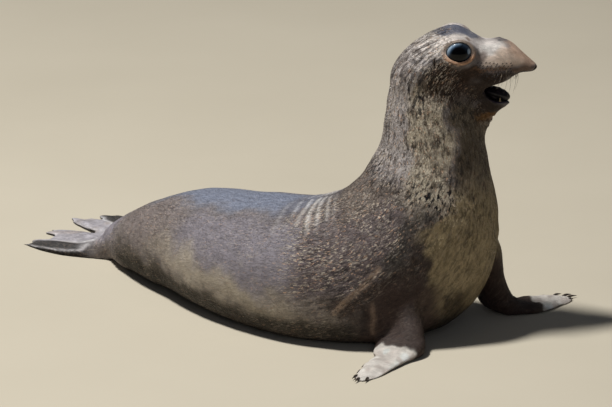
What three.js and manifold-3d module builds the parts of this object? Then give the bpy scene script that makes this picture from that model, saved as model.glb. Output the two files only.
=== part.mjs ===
import * as THREE from "three";
import { mergeVertices } from "three/addons/utils/BufferGeometryUtils.js";
import Module from "manifold-3d";

// A young male elephant seal at life size, lying on its belly with the chest propped on the fore
// flippers, the neck upright, the head turned to its left and the mouth a little open.
// Millimetres. +Z is up, +X points from the tail to the chest and +Y to the animal's left.
// All sizes below count from the floor between the wrists of the fore flippers. The finished part
// is then moved, so that its origin is on the floor in the middle of the belly's flat.

const wasm = await Module();
wasm.setup();

// Driving sizes
const gap = 0.35; // between neighbouring pieces
const bellyMiddle = [-450, -150]; // the origin of the finished part
const headHeading = 35; // degrees that the head looks to the left of the trunk
const headOrigin = [-29, 41]; // x and y of the point from which the head's sections are counted
const eye = { radius: 44, forward: -44, height: 930, aside: 84 };
const ear = { forward: -115, height: 905, aside: 137, size: [9, 9, 20] };
const nostril = { forward: 206, height: 858, aside: 14, size: [14, 6, 8] };
const mouth = { corner: [39, 801], upperLip: 822, lowerLip: 750, front: 150 };
const tongue = { forward: 82, height: 773, size: [48, 26, 26], slope: 12 };
const canine = { forward: 96, aside: 33, height: 742, length: 33, radius: 4.5 };
const claw = { length: 34, radius: 5, height: 7.5, across: [0.07, 0.28, 0.5, 0.72, 0.93] };

// Where the flesh is parted into pieces: a point of each cut and the way it faces
const neckTop = { point: [-120, -22, 705], facing: [0.22, 0.15, 1] };
const neckBase = { point: [-135, -35, 470], facing: [0.5, 0.25, 1] };
const chestBack = { point: [-380, -130, 200], facing: [1, 0.2, 0.25] };
const trunkBack = { point: [-930, -118, 150], facing: [1, -0.12, 0.05] };
const tailRoot = { point: [-1405, -18, 70], facing: [1, -0.15, 0] };
const betweenHindFlippers = { point: [-1600, 112, 0], facing: [0.36, 0.93, 0] };
const noseRoot = 116; // along the head
const jawRoot = { forward: 34, height: 800, slope: 22 }; // degrees back from upright

const degrees = (d) => (d * Math.PI) / 180;
const up = new THREE.Vector3(0, 0, 1);
const mix = THREE.MathUtils.lerp;

// Solids and cuts

function toSolid(geometry) {
  const bare = geometry.index ? geometry.toNonIndexed() : geometry.clone();
  for (const name of Object.keys(bare.attributes)) {
    if (name !== "position") bare.deleteAttribute(name);
  }
  const merged = mergeVertices(bare, 1e-3);
  return new wasm.Manifold(
    new wasm.Mesh({
      numProp: 3,
      vertProperties: merged.attributes.position.array,
      triVerts: new Uint32Array(merged.index.array),
    }),
  );
}

function toGeometry(solid) {
  const mesh = solid.getMesh();
  const positions = new Float32Array(mesh.numVert * 3);
  for (let i = 0; i < mesh.numVert; i++) {
    const at = i * mesh.numProp;
    positions.set(mesh.vertProperties.subarray(at, at + 3), i * 3);
  }
  const geometry = new THREE.BufferGeometry();
  geometry.setAttribute("position", new THREE.BufferAttribute(positions, 3));
  geometry.setIndex(new THREE.BufferAttribute(new Uint32Array(mesh.triVerts), 1));
  geometry.computeVertexNormals();
  return geometry;
}

// Everything on the side of a plane that its normal points to, as a block larger than the animal.
function halfSpace(point, normal, offset = 0) {
  const reach = 4000;
  const direction = new THREE.Vector3(...normal).normalize();
  const block = new THREE.BoxGeometry(reach, reach, reach);
  block.translate(0, 0, reach / 2 + offset);
  block.applyQuaternion(new THREE.Quaternion().setFromUnitVectors(up, direction));
  block.translate(...point);
  return toSolid(block);
}

// The parts of a solid before and behind a plane, half a gap away from it each.
function part(solid, { point, facing }) {
  const back = facing.map((v) => -v);
  const before = solid.intersect(halfSpace(point, facing, gap / 2));
  const behind = solid.intersect(halfSpace(point, back, gap / 2));
  return [before, behind];
}

// Lofts

// Reads a list of sections as smooth functions of the way along their centres.
function smoothSections(sections, fields) {
  const along = [0];
  for (let i = 1; i < sections.length; i++) {
    const [a, b] = [sections[i - 1], sections[i]];
    along.push(along[i - 1] + Math.hypot(b.x - a.x, b.y - a.y, b.z - a.z));
  }
  const values = sections.flatMap((s) => fields.map((f) => s[f]));
  const cubic = new THREE.CubicInterpolant(along, values, fields.length);
  const length = along.at(-1);
  const at = (t) => {
    const row = cubic.evaluate(THREE.MathUtils.clamp(t, 0, length));
    return Object.fromEntries(fields.map((f, i) => [f, row[i]]));
  };
  return { at, length };
}

// One closed ring: an oval with its own height above and below the centre, where crown and flat are
// the powers of its upper and lower half. A power over 2 squares the oval.
function ovalRing(centre, aside, upward, { wide, above, below, crown, flat }, sides) {
  const ring = [];
  for (let i = 0; i < sides; i++) {
    const angle = (2 * Math.PI * (i + 0.5)) / sides;
    const c = Math.cos(angle);
    const s = Math.sin(angle);
    const power = s > 0 ? crown : flat;
    const across = wide * Math.sign(c) * Math.abs(c) ** (2 / power);
    const lift = (s > 0 ? above : -below) * Math.abs(s) ** (2 / power);
    ring.push(centre.clone().addScaledVector(aside, across).addScaledVector(upward, lift));
  }
  return ring;
}

// A closed skin through rings of equal count, with a point in the middle of each end.
function skinRings(rings) {
  const sides = rings[0].length;
  const points = rings.flat();
  const ends = [rings[0], rings.at(-1)].map((ring) =>
    ring.reduce((sum, p) => sum.add(p), new THREE.Vector3()).divideScalar(sides),
  );
  const faces = [];
  for (let r = 0; r + 1 < rings.length; r++) {
    for (let i = 0; i < sides; i++) {
      const [a, b] = [r * sides + i, r * sides + ((i + 1) % sides)];
      faces.push(a, b, b + sides, a, b + sides, a + sides);
    }
  }
  const [first, last] = [points.length, points.length + 1];
  const lastRing = (rings.length - 1) * sides;
  for (let i = 0; i < sides; i++) {
    const j = (i + 1) % sides;
    faces.push(first, j, i, last, lastRing + i, lastRing + j);
  }
  const geometry = new THREE.BufferGeometry().setFromPoints([...points, ...ends]);
  geometry.setIndex(faces);
  return geometry;
}

// A loft of ovals. Each section faces along its own heading and pitch and is widest to its sides.
function loft(sections, { rings, sides }) {
  const place = ["x", "y", "z", "heading", "pitch"];
  const fields = [...place, "wide", "above", "below", "crown", "flat"];
  const filled = sections.map((s) => ({ crown: 2.15, flat: 2.2, ...s }));
  const { at, length } = smoothSections(filled, fields);
  const made = [];
  for (let r = 0; r < rings; r++) {
    const s = at((length * r) / (rings - 1));
    const [heading, pitch] = [degrees(s.heading), degrees(s.pitch)];
    const level = new THREE.Vector3(Math.cos(heading), Math.sin(heading), 0);
    const aside = new THREE.Vector3(-level.y, level.x, 0);
    const upward = level.multiplyScalar(-Math.sin(pitch)).addScaledVector(up, Math.cos(pitch));
    made.push(ovalRing(new THREE.Vector3(s.x, s.y, s.z), aside, upward, s, sides));
  }
  return skinRings(made);
}

// The middle line of a foot's digit, from the knuckle over the middle to the tip, where v counts
// from 0 at the first digit to 1 at the last.
function digitLine({ knuckles, middles, tips }, v) {
  const across = (list) => {
    const curve = new THREE.CatmullRomCurve3(list.map(([x, y]) => new THREE.Vector3(x, y)));
    return curve.getPoint(v);
  };
  return new THREE.CatmullRomCurve3([knuckles, middles, tips].map(across));
}

// A webbed foot on the floor. The web between its five digits stops short of their tips, a slit
// may part it into two lobes, and the back of the foot rises along each digit.
function webbedFoot(foot, { web, ridge }) {
  const { thickness, slit } = foot;
  const [steps, across] = [8, 20];
  const rows = [[], []];
  for (let i = 0; i <= steps; i++) {
    for (let j = 0; j <= across; j++) {
      const v = j / across;
      const between = Math.sin(Math.PI * v * (foot.tips.length - 1)) ** 2;
      const notch = slit ? slit.depth * Math.exp(-(((v - slit.at) / slit.wide) ** 2)) : 0;
      const s = (i / steps) * (1 - Math.max(web * between, notch));
      const point = digitLine(foot, v).getPoint(s);
      const edge = Math.sqrt(1 - Math.abs(2 * v - 1) ** 6 * 0.8);
      const tip = Math.sqrt(1 - (i / steps) ** 6 * 0.75);
      const height = mix(...thickness, s ** 0.7) * (1 - ridge * between) * edge * tip;
      rows[0].push(new THREE.Vector3(point.x, point.y, height));
      rows[1].push(new THREE.Vector3(point.x, point.y, -10));
    }
  }
  const row = across + 1;
  const lower = rows[0].length;
  const faces = [];
  const quad = (a, b, c, d) => faces.push(a, b, c, a, c, d);
  for (let i = 0; i < steps; i++) {
    for (let j = 0; j < across; j++) {
      const a = i * row + j;
      quad(a, a + 1, a + row + 1, a + row);
      quad(lower + a, lower + a + row, lower + a + row + 1, lower + a + 1);
    }
    const [left, right] = [i * row, i * row + across];
    quad(left, left + row, lower + left + row, lower + left);
    quad(right, lower + right, lower + right + row, right + row);
  }
  for (let j = 0; j < across; j++) {
    const [near, far] = [j, steps * row + j];
    quad(near, lower + near, lower + near + 1, near + 1);
    quad(far, far + 1, lower + far + 1, lower + far);
  }
  const geometry = new THREE.BufferGeometry().setFromPoints(rows.flat());
  geometry.setIndex(faces);
  const solid = toSolid(geometry);
  return solid.volume() > 0 ? solid : toSolid(flip(geometry));
}

function flip(geometry) {
  const index = geometry.index.array;
  for (let i = 0; i < index.length; i += 3) [index[i], index[i + 1]] = [index[i + 1], index[i]];
  return geometry;
}

function ellipsoid(size, across = 12, down = 9) {
  return new THREE.SphereGeometry(1, across, down).scale(...size);
}

// Body: from the rump along the trunk, up through the chest and neck into the head

const bodySections = [
  { x: -1478, y: 4, z: 36, heading: -8, pitch: 0, wide: 22, above: 12, below: 14, flat: 2.4 },
  { x: -1425, y: -12, z: 62, heading: -8, pitch: 0, wide: 56, above: 42, below: 50, flat: 2.5 },
  { x: -1345, y: -32, z: 84, heading: -8, pitch: 0, wide: 96, above: 76, below: 90, flat: 2.5 },
  { x: -1210, y: -62, z: 112, heading: -9, pitch: 0, wide: 155, above: 128, below: 122, flat: 2.4 },
  { x: -1030, y: -96, z: 135, heading: -9, pitch: 0, wide: 204, above: 181, below: 146, flat: 2.5 },
  { x: -760, y: -136, z: 160, heading: -5, pitch: 2, wide: 278, above: 196, below: 178, flat: 2.9 },
  { x: -520, y: -154, z: 190, heading: 5, pitch: 8, wide: 309, above: 197, below: 228, flat: 3.3 },
  { x: -335, y: -127, z: 240, heading: 16, pitch: 20, wide: 306, above: 202, below: 286, flat: 3.2 },
  { x: -210, y: -75, z: 330, heading: 25, pitch: 42, wide: 256, above: 208, below: 350, flat: 1.95 },
  { x: -145, y: -40, z: 445, heading: 32, pitch: 60, wide: 212, above: 200, below: 282, flat: 2 },
  { x: -117, y: -20, z: 570, heading: 35, pitch: 76, wide: 170, above: 176, below: 184, flat: 2 },
  { x: -120, y: -22, z: 700, heading: 35, pitch: 87, wide: 150, above: 156, below: 147, flat: 2 },
  { x: -127, y: -28, z: 810, heading: 35, pitch: 92, wide: 130, above: 118, below: 125, flat: 2 },
  { x: -122, y: -25, z: 880, heading: 35, pitch: 92, wide: 80, above: 65, below: 75, flat: 2 },
];
const bodyDetail = { rings: 32, sides: 24 };

// Head, counted along its own forward direction from the origin of its sections

function headPoint(forward, aside, height) {
  const a = degrees(headHeading);
  return [
    headOrigin[0] + forward * Math.cos(a) - aside * Math.sin(a),
    headOrigin[1] + forward * Math.sin(a) + aside * Math.cos(a),
    height,
  ];
}

function headSections(list) {
  return list.map(([forward, bottom, middle, top, wide, flat, crown = 2.15]) => {
    const [x, y, z] = headPoint(forward, 0, middle);
    const [above, below] = [top - middle, middle - bottom];
    return { x, y, z, heading: headHeading, pitch: 0, wide, above, below, crown, flat };
  });
}

// forward, lowest height, height of the widest place, highest height, half width, power of the
// lower half and, where it isn't round, of the upper half
const skull = headSections([
  [-248, 815, 838, 856, 34, 2.1],
  [-232, 770, 836, 874, 88, 2.1],
  [-200, 735, 848, 913, 118, 2.1],
  [-150, 722, 862, 954, 134, 2.1],
  [-95, 722, 882, 979, 133, 2.1, 2.4],
  [-45, 738, 895, 989, 115, 2.1, 2.7],
  [0, 762, 886, 972, 101, 2.3, 2.6],
  [45, 782, 868, 952, 88, 2.8],
  [90, 800, 866, 954, 78, 3],
  [125, 826, 878, 946, 62, 2.6],
  [160, 845, 882, 913, 47, 2.2],
  [192, 844, 866, 884, 33, 2.1],
  [214, 852, 861, 868, 12, 2.1],
]);
const jaw = headSections([
  [-150, 640, 720, 800, 112, 2.1],
  [-80, 616, 722, 805, 106, 2.1],
  [-20, 612, 728, 815, 88, 2.1],
  [30, 638, 738, 816, 66, 2.2],
  [58, 656, 742, 812, 56, 2.1],
  [78, 704, 750, 806, 50, 2.2],
  [108, 731, 758, 796, 37, 2.2],
  [131, 744, 754, 764, 14, 2.1],
]);

// The wedge between the lips, from the corner of the mouth forward
function mouthGap() {
  const { corner, upperLip, lowerLip, front } = mouth;
  const outline = new THREE.Shape();
  outline.moveTo(corner[0], corner[1]);
  outline.quadraticCurveTo(corner[0] + 12, lowerLip, front, lowerLip - 2);
  outline.lineTo(front, upperLip + 14);
  outline.quadraticCurveTo(corner[0] + 40, upperLip - 4, corner[0], corner[1] + 3);
  const depth = 240;
  const block = new THREE.ExtrudeGeometry(outline, { depth, bevelEnabled: false, curveSegments: 6 });
  block.translate(0, 0, -depth / 2);
  block.rotateX(Math.PI / 2);
  block.rotateZ(degrees(headHeading));
  block.translate(headOrigin[0], headOrigin[1], 0);
  return toSolid(block);
}

function placed(geometry, forward, aside, height) {
  geometry.rotateZ(degrees(headHeading));
  geometry.translate(...headPoint(forward, aside, height));
  return toSolid(geometry);
}

// Fore flippers: an arm from inside the chest down to the wrist, and a webbed hand

const foreFlippers = {
  right: {
    arm: [
      { x: -120, y: -140, z: 320, heading: -92, pitch: -72, wide: 96, above: 60, below: 60 },
      { x: -112, y: -214, z: 215, heading: -92, pitch: -72, wide: 80, above: 58, below: 58 },
      { x: -99, y: -240, z: 130, heading: -92, pitch: -70, wide: 74, above: 48, below: 48 },
      { x: -74, y: -262, z: 58, heading: -92, pitch: -55, wide: 86, above: 50, below: 52 },
      { x: -58, y: -305, z: 20, heading: -92, pitch: -25, wide: 82, above: 40, below: 34 },
      { x: -48, y: -380, z: 4, heading: -92, pitch: -5, wide: 62, above: 24, below: 14 },
    ],
    hand: {
      knuckles: [[8, -240], [-24, -240], [-58, -240], [-92, -250], [-122, -285]],
      middles: [[14, -415], [-12, -420], [-38, -422], [-60, -415], [-84, -400]],
      tips: [[8, -572], [-18, -600], [-42, -582], [-58, -528], [-78, -460]],
      thickness: [50, 12],
    },
  },
  left: {
    arm: [
      { x: -82, y: 124, z: 320, heading: 72, pitch: -72, wide: 90, above: 56, below: 56 },
      { x: -50, y: 174, z: 215, heading: 72, pitch: -74, wide: 76, above: 48, below: 48 },
      { x: -45, y: 196, z: 130, heading: 72, pitch: -72, wide: 66, above: 42, below: 42 },
      { x: -28, y: 216, z: 56, heading: 72, pitch: -55, wide: 70, above: 42, below: 46 },
      { x: -8, y: 255, z: 14, heading: 72, pitch: -22, wide: 68, above: 34, below: 30 },
      { x: 18, y: 315, z: 2, heading: 72, pitch: -5, wide: 54, above: 22, below: 14 },
    ],
    hand: {
      knuckles: [[38, 200], [16, 200], [-8, 210], [-30, 228], [-44, 256]],
      middles: [[102, 290], [82, 322], [56, 342], [30, 358], [2, 368]],
      tips: [[124, 440], [112, 478], [90, 482], [58, 464], [24, 412]],
      thickness: [44, 11],
    },
  },
};

const handWeb = { web: 0.05, ridge: 0.14 };

// Hind flippers: an ankle and a webbed foot parted into two lobes, with the outer digits longest

const hindFlippers = {
  right: {
    ankle: [
      { x: -1290, y: -56, z: 74, heading: 184, pitch: -10, wide: 52, above: 44, below: 44 },
      { x: -1390, y: -50, z: 50, heading: 182, pitch: -12, wide: 46, above: 38, below: 38 },
      { x: -1490, y: -50, z: 24, heading: 178, pitch: -8, wide: 52, above: 26, below: 26 },
      { x: -1580, y: -42, z: 6, heading: 176, pitch: -3, wide: 56, above: 16, below: 14 },
    ],
    foot: {
      knuckles: [[-1380, -78], [-1370, -66], [-1370, -54], [-1370, -28], [-1370, -4]],
      middles: [[-1590, -138], [-1600, -78], [-1600, -14], [-1605, 46], [-1590, 96]],
      tips: [[-1766, -112], [-1750, -62], [-1715, 6], [-1775, 26], [-1795, 78]],
      thickness: [56, 14],
      slit: { at: 0.6, depth: 0.38, wide: 0.045 },
    },
  },
  left: {
    ankle: [
      { x: -1290, y: 5, z: 80, heading: 165, pitch: -10, wide: 60, above: 44, below: 44 },
      { x: -1385, y: 40, z: 56, heading: 156, pitch: -12, wide: 58, above: 38, below: 38 },
      { x: -1475, y: 92, z: 28, heading: 152, pitch: -8, wide: 62, above: 26, below: 26 },
      { x: -1550, y: 142, z: 8, heading: 148, pitch: -3, wide: 58, above: 16, below: 14 },
    ],
    foot: {
      knuckles: [[-1395, -5], [-1380, 20], [-1365, 45], [-1350, 76], [-1335, 112]],
      middles: [[-1590, 98], [-1595, 142], [-1595, 192], [-1585, 248], [-1570, 310]],
      tips: [[-1785, 178], [-1812, 222], [-1745, 258], [-1740, 298], [-1700, 346]],
      thickness: [54, 14],
      slit: { at: 0.58, depth: 0.34, wide: 0.045 },
    },
  },
};

const footWeb = { web: 0.1, ridge: 0.18 };

// Build

const pieces = {};
const sides = { right: -1, left: 1 };
const aboveFloor = halfSpace([0, 0, 0], [0, 0, 1]);

const grown = (list) =>
  list.map((s) => ({ ...s, wide: s.wide + gap, above: s.above + gap, below: s.below + gap }));
const bodyLoft = toSolid(loft(bodySections, bodyDetail));
const bodyRoom = toSolid(loft(grown(bodySections), bodyDetail));
const skullLoft = toSolid(loft(skull, { rings: 28, sides: 24 }));
const jawLoft = toSolid(loft(jaw, { rings: 12, sides: 18 }));
let flesh = bodyLoft.add(skullLoft).add(jawLoft).intersect(aboveFloor).subtract(mouthGap());

for (const [side, sign] of Object.entries(sides)) {
  const ball = (radius) => {
    const geometry = ellipsoid([radius, radius, radius]);
    return placed(geometry, eye.forward, sign * eye.aside, eye.height);
  };
  pieces[`eye_${side}`] = ball(eye.radius);
  const earPit = placed(ellipsoid(ear.size, 8, 6), ear.forward, sign * ear.aside, ear.height);
  const nosePit = ellipsoid(nostril.size, 8, 6);
  const nostrilPit = placed(nosePit, nostril.forward, sign * nostril.aside, nostril.height);
  flesh = flesh.subtract(ball(eye.radius + gap)).subtract(earPit).subtract(nostrilPit);
}

function tongueSolid(more) {
  const geometry = ellipsoid(tongue.size.map((v) => v + more));
  geometry.rotateY(degrees(tongue.slope));
  return placed(geometry, tongue.forward, 0, tongue.height);
}
pieces.tongue = tongueSolid(0);
flesh = flesh.subtract(tongueSolid(gap));
for (const [side, sign] of Object.entries(sides)) {
  const cone = (more) => {
    const geometry = new THREE.ConeGeometry(canine.radius + more, canine.length + 2 * more, 8);
    geometry.rotateX(Math.PI / 2);
    const height = canine.height + canine.length / 2;
    return placed(geometry, canine.forward, sign * canine.aside, height);
  };
  pieces[`lower_canine_${side}`] = cone(0);
  flesh = flesh.subtract(cone(gap));
}

const [aboveCut, belowHead] = part(flesh, neckTop);
const [neck, belowNeck] = part(belowHead, neckBase);
const [chest, behindChest] = part(belowNeck, chestBack);
const [trunk, behindTrunk] = part(behindChest, trunkBack);
const [rump, tail] = part(behindTrunk, tailRoot);
const lookX = Math.cos(degrees(headHeading));
const lookY = Math.sin(degrees(headHeading));
const back = degrees(jawRoot.slope);
const jawFacing = [lookX * Math.cos(back), lookY * Math.cos(back), -Math.sin(back)];
const jawPoint = headPoint(jawRoot.forward, 0, jawRoot.height);
const jawSpace = (offset) =>
  halfSpace(jawPoint, jawFacing, offset).intersect(halfSpace(jawPoint, [0, 0, -1], offset));
const upperHead = aboveCut.subtract(jawSpace(-gap / 2));
const noseCut = { point: headPoint(noseRoot, 0, 900), facing: [lookX, lookY, 0] };
const [nose, head] = part(upperHead, noseCut);
Object.assign(pieces, { head, proboscis: nose, lower_jaw: aboveCut.intersect(jawSpace(gap / 2)) });
Object.assign(pieces, { neck, chest, trunk, rump, tail });

function clawCone(foot, v, more) {
  const line = digitLine(foot, v);
  const [tip, way] = [line.getPoint(1), line.getTangent(1)];
  const geometry = new THREE.ConeGeometry(claw.radius + more, claw.length + 2 * more, 8);
  geometry.rotateZ(-Math.PI / 2);
  geometry.rotateZ(Math.atan2(way.y, way.x));
  const inset = claw.length * 0.1;
  geometry.translate(tip.x - way.x * inset, tip.y - way.y * inset, claw.height);
  return toSolid(geometry);
}

for (const [side, { arm, hand }] of Object.entries(foreFlippers)) {
  let whole = toSolid(loft(arm, { rings: 12, sides: 14 })).add(webbedFoot(hand, handWeb));
  whole = whole.intersect(aboveFloor).subtract(bodyRoom);
  claw.across.forEach((v, i) => {
    pieces[`claw_${side}_${i + 1}`] = clawCone(hand, v, 0);
    whole = whole.subtract(clawCone(hand, v, gap));
  });
  pieces[`fore_flipper_${side}`] = whole;
}

const hindWhole = {};
for (const [side, { ankle, foot }] of Object.entries(hindFlippers)) {
  const whole = toSolid(loft(ankle, { rings: 6, sides: 12 })).add(webbedFoot(foot, footWeb));
  hindWhole[side] = whole.intersect(aboveFloor).subtract(bodyRoom);
}
pieces.hind_flipper_right = part(hindWhole.right, betweenHindFlippers)[1];
pieces.hind_flipper_left = part(hindWhole.left, betweenHindFlippers)[0];

const colours = { eye: 0x15110f, claw: 0x2b2523, tongue: 0x8a5a58, lower_canine: 0xd8ccb0 };
const seal = new THREE.Group();
for (const [name, solid] of Object.entries(pieces)) {
  const kind = Object.keys(colours).find((start) => name.startsWith(start));
  const material = new THREE.MeshStandardMaterial({ color: colours[kind] ?? 0x6b5f57 });
  const geometry = toGeometry(solid);
  geometry.translate(-bellyMiddle[0], -bellyMiddle[1], 0);
  const mesh = new THREE.Mesh(geometry, material);
  mesh.name = name;
  seal.add(mesh);
}

export default seal;
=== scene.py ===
import math

import bmesh
import bpy
import numpy as np
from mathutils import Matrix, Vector
from mathutils.bvhtree import BVHTree


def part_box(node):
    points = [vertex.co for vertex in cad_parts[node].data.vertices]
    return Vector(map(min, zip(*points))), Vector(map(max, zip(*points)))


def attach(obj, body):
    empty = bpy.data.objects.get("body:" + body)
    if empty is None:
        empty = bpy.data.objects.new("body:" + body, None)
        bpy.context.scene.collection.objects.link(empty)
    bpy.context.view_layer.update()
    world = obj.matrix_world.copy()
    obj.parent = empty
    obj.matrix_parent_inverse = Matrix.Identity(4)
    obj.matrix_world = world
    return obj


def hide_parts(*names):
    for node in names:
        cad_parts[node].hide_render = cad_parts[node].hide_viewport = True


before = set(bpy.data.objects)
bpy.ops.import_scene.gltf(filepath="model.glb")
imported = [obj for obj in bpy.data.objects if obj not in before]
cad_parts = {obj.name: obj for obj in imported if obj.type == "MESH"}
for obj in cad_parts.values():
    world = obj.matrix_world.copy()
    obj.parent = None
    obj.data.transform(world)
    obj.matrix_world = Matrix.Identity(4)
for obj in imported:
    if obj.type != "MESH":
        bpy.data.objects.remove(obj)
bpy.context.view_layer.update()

# A young male elephant seal at life size, as a still model. Metres, +Z up, +X towards the chest,
# +Y to the animal's left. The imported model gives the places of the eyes, mouth, claws and flesh.

draws = np.random.default_rng(11)
sides = {"right": -1, "left": 1}
millimetre = 0.001


# Small helpers

def hexColour(code):
    # sRGB hex to the linear colour that the shader wants
    parts = [int(code[i:i + 2], 16) / 255 for i in (1, 3, 5)]
    linear = [c / 12.92 if c <= 0.04045 else ((c + 0.055) / 1.055) ** 2.4 for c in parts]
    return (*linear, 1.0)


def addNode(tree, kind, settings=None, links=None):
    # links holds a value or another node's socket for each input, by name or number
    node = tree.nodes.new("ShaderNode" + kind)
    for name, value in (settings or {}).items():
        if name == "stops":
            ramp = node.color_ramp.elements
            while len(ramp) < len(value):
                ramp.new(0.5)
            for stop, (place, colour) in zip(ramp, value):
                stop.position = place
                stop.color = hexColour(colour) if isinstance(colour, str) else (colour,) * 3 + (1,)
        else:
            setattr(node, name, value)
    for name, value in (links or {}).items():
        socket = node.inputs[name]
        if isinstance(value, bpy.types.NodeSocket):
            tree.links.new(value, socket)
        else:
            socket.default_value = value
    return node


def newMaterial(name):
    made = bpy.data.materials.new(name)
    made.use_nodes = True
    made.node_tree.nodes.clear()
    return made, made.node_tree


def newObject(name, mesh, material, node=None):
    # a piece of the seal that rides on its one body, and may stand for CAD nodes
    item = bpy.data.objects.new(name, mesh)
    bpy.context.scene.collection.objects.link(item)
    if material:
        mesh.materials.append(material)
    mesh.polygons.foreach_set("use_smooth", [True] * len(mesh.polygons))
    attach(item, "root")
    if node:
        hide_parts(*([node] if isinstance(node, str) else node))
    return item


def boxMiddle(node):
    low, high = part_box(node)
    return np.array((low + high) / 2)


def smoothStep(low, high, x):
    t = np.clip((x - low) / (high - low), 0, 1)
    return t * t * (3 - 2 * t)


def hill(x, middle, width):
    return np.exp(-((x - middle) / width) ** 2)


def unit(vectors):
    return vectors / np.maximum(np.linalg.norm(vectors, axis=-1, keepdims=True), 1e-12)


def readArray(items, name, width, kind=np.float32):
    values = np.empty(len(items) * width, kind)
    items.foreach_get(name, values)
    return values.reshape(-1, width) if width > 1 else values


def meshArrays(mesh):
    points = readArray(mesh.vertices, "co", 3).astype(float)
    return points, readArray(mesh.edges, "vertices", 2, np.int32)


def vertexNormals(mesh):
    return readArray(mesh.vertex_normals, "vector", 3).astype(float)


def setPoints(mesh, points):
    mesh.vertices.foreach_set("co", points.astype(np.float32).ravel())
    mesh.update()


def ripples(points, size, seed, count=14):
    # a soft random pattern from -1 to 1 with swells of about the given size
    rolls = np.random.default_rng(seed)
    total = np.zeros(len(points))
    for way in unit(rolls.normal(size=(count, 3))):
        pace = 2 * math.pi / size * rolls.uniform(0.6, 1.5)
        total += np.cos(points @ way * pace + rolls.uniform(0, 6.3))
    return np.clip(total / math.sqrt(count), -1.6, 1.6) / 1.6


def blendTo(a, b, share):
    return a * (1 - share) + b * share


def farFrom(points, place):
    return np.linalg.norm(points - place, axis=1)


def shareAlong(points, a, b):
    # 0 at a, 1 at b
    return (points - a) @ (b - a) / ((b - a) @ (b - a))


def distanceTo(points, line):
    # distance from each point to a line of straight stretches
    best = np.full(len(points), np.inf)
    for a, b in zip(line[:-1], line[1:]):
        a, b = np.array(a), np.array(b)
        t = np.clip(shareAlong(points, a, b), 0, 1)
        best = np.minimum(best, np.linalg.norm(points - a - t[:, None] * (b - a), axis=1))
    return best


def neighbourSum(edges, count, values):
    total = np.zeros_like(values)
    for column in range(values.shape[1]):
        for a, b in ((0, 1), (1, 0)):
            total[:, column] += np.bincount(edges[:, a], values[edges[:, b], column], count)
    return total


def relaxed(points, edges, reach, passes=60):
    # Evens a surface out over the distance reach, in metres, which may differ from point to point.
    # The second round gives back what the first one shrank.
    count = len(points)
    degree = np.maximum(np.bincount(edges.ravel(), minlength=count)[:, None].astype(float), 1)
    step = np.linalg.norm(points[edges[:, 0]] - points[edges[:, 1]], axis=1)
    spacing = np.bincount(edges.ravel(), np.repeat(step, 2), count) / degree[:, 0]
    hold = (np.maximum(spacing, 1e-4) / np.maximum(reach, 1e-4)) ** 2
    hold = hold[:, None] * degree / 4

    def spread(target):
        # conjugate gradients on (hold + degree - neighbours) x = hold * target
        x = target.copy()
        left = hold * target - ((hold + degree) * x - neighbourSum(edges, count, x))
        way = left / (hold + degree)
        search, power = way.copy(), (left * way).sum(0)
        for _ in range(passes):
            pushed = (hold + degree) * search - neighbourSum(edges, count, search)
            rate = power / np.maximum((search * pushed).sum(0), 1e-30)
            x += rate * search
            left -= rate * pushed
            way = left / (hold + degree)
            newPower = (left * way).sum(0)
            search = way + search * (newPower / np.maximum(power, 1e-30))
            power = newPower
        return x

    first = spread(points)
    return first + spread(points - first)


# Camera at the photograph's viewing angle

camera = {"place": (5.931, -8.576, 3.573), "turn": 35, "drop": 17, "lens": 200.1}


def makeCamera():
    data = bpy.data.cameras.new("camera")
    data.lens = camera["lens"]
    data.sensor_width = 36
    data.clip_end = 60
    item = bpy.data.objects.new("camera", data)
    item.location = camera["place"]
    item.rotation_euler = (math.radians(90 - camera["drop"]), 0, math.radians(camera["turn"]))
    bpy.context.scene.collection.objects.link(item)
    bpy.context.scene.camera = item


makeCamera()
print("camera placed")


# The line that the body follows: x, y, z in metres and the heading of that stretch in degrees

spine = [
    (-1.03, 0.154, 0.036, -8), (-0.76, 0.088, 0.112, -9), (-0.31, 0.014, 0.170, -5),
    (-0.07, -0.004, 0.200, 5), (0.115, 0.023, 0.250, 16), (0.240, 0.075, 0.340, 25),
    (0.305, 0.110, 0.460, 32), (0.333, 0.130, 0.600, 35), (0.328, 0.126, 0.760, 35),
    (0.360, 0.148, 0.860, 35), (0.460, 0.218, 0.885, 35), (0.600, 0.316, 0.862, 35),
]
limbs = {
    "fore_flipper_right": [
        (0.345, -0.04, 0.26), (0.360, -0.10, 0.11), (0.395, -0.22, 0.02), (0.42, -0.44, 0.005)],
    "fore_flipper_left": [
        (0.400, 0.33, 0.26), (0.415, 0.36, 0.11), (0.450, 0.42, 0.02), (0.54, 0.62, 0.005)],
    "hind_flipper_right": [(-0.90, 0.10, 0.06), (-1.12, 0.12, 0.02), (-1.32, 0.14, 0.01)],
    "hind_flipper_left": [(-0.92, 0.16, 0.06), (-1.12, 0.30, 0.02), (-1.33, 0.42, 0.01)],
}
headHeading = math.radians(35)
headForward = np.array([math.cos(headHeading), math.sin(headHeading), 0])
headLeft = np.array([-headForward[1], headForward[0], 0])
headOrigin = np.array([0.421, 0.191, 0])


def headPoint(forward, aside, height):
    return headOrigin + forward * headForward + aside * headLeft + np.array([0, 0, height])


def headWay(way, side):
    # a direction given forward, out to that side of the head and up
    return way[0] * headForward + way[1] * side * headLeft + way[2] * np.array([0, 0, 1.0])


def headPlaces(points):
    # forward, to the left and up, as headPoint takes them
    offset = points - headOrigin
    return np.stack([offset @ headForward, offset @ headLeft, points[:, 2]], 1)


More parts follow.
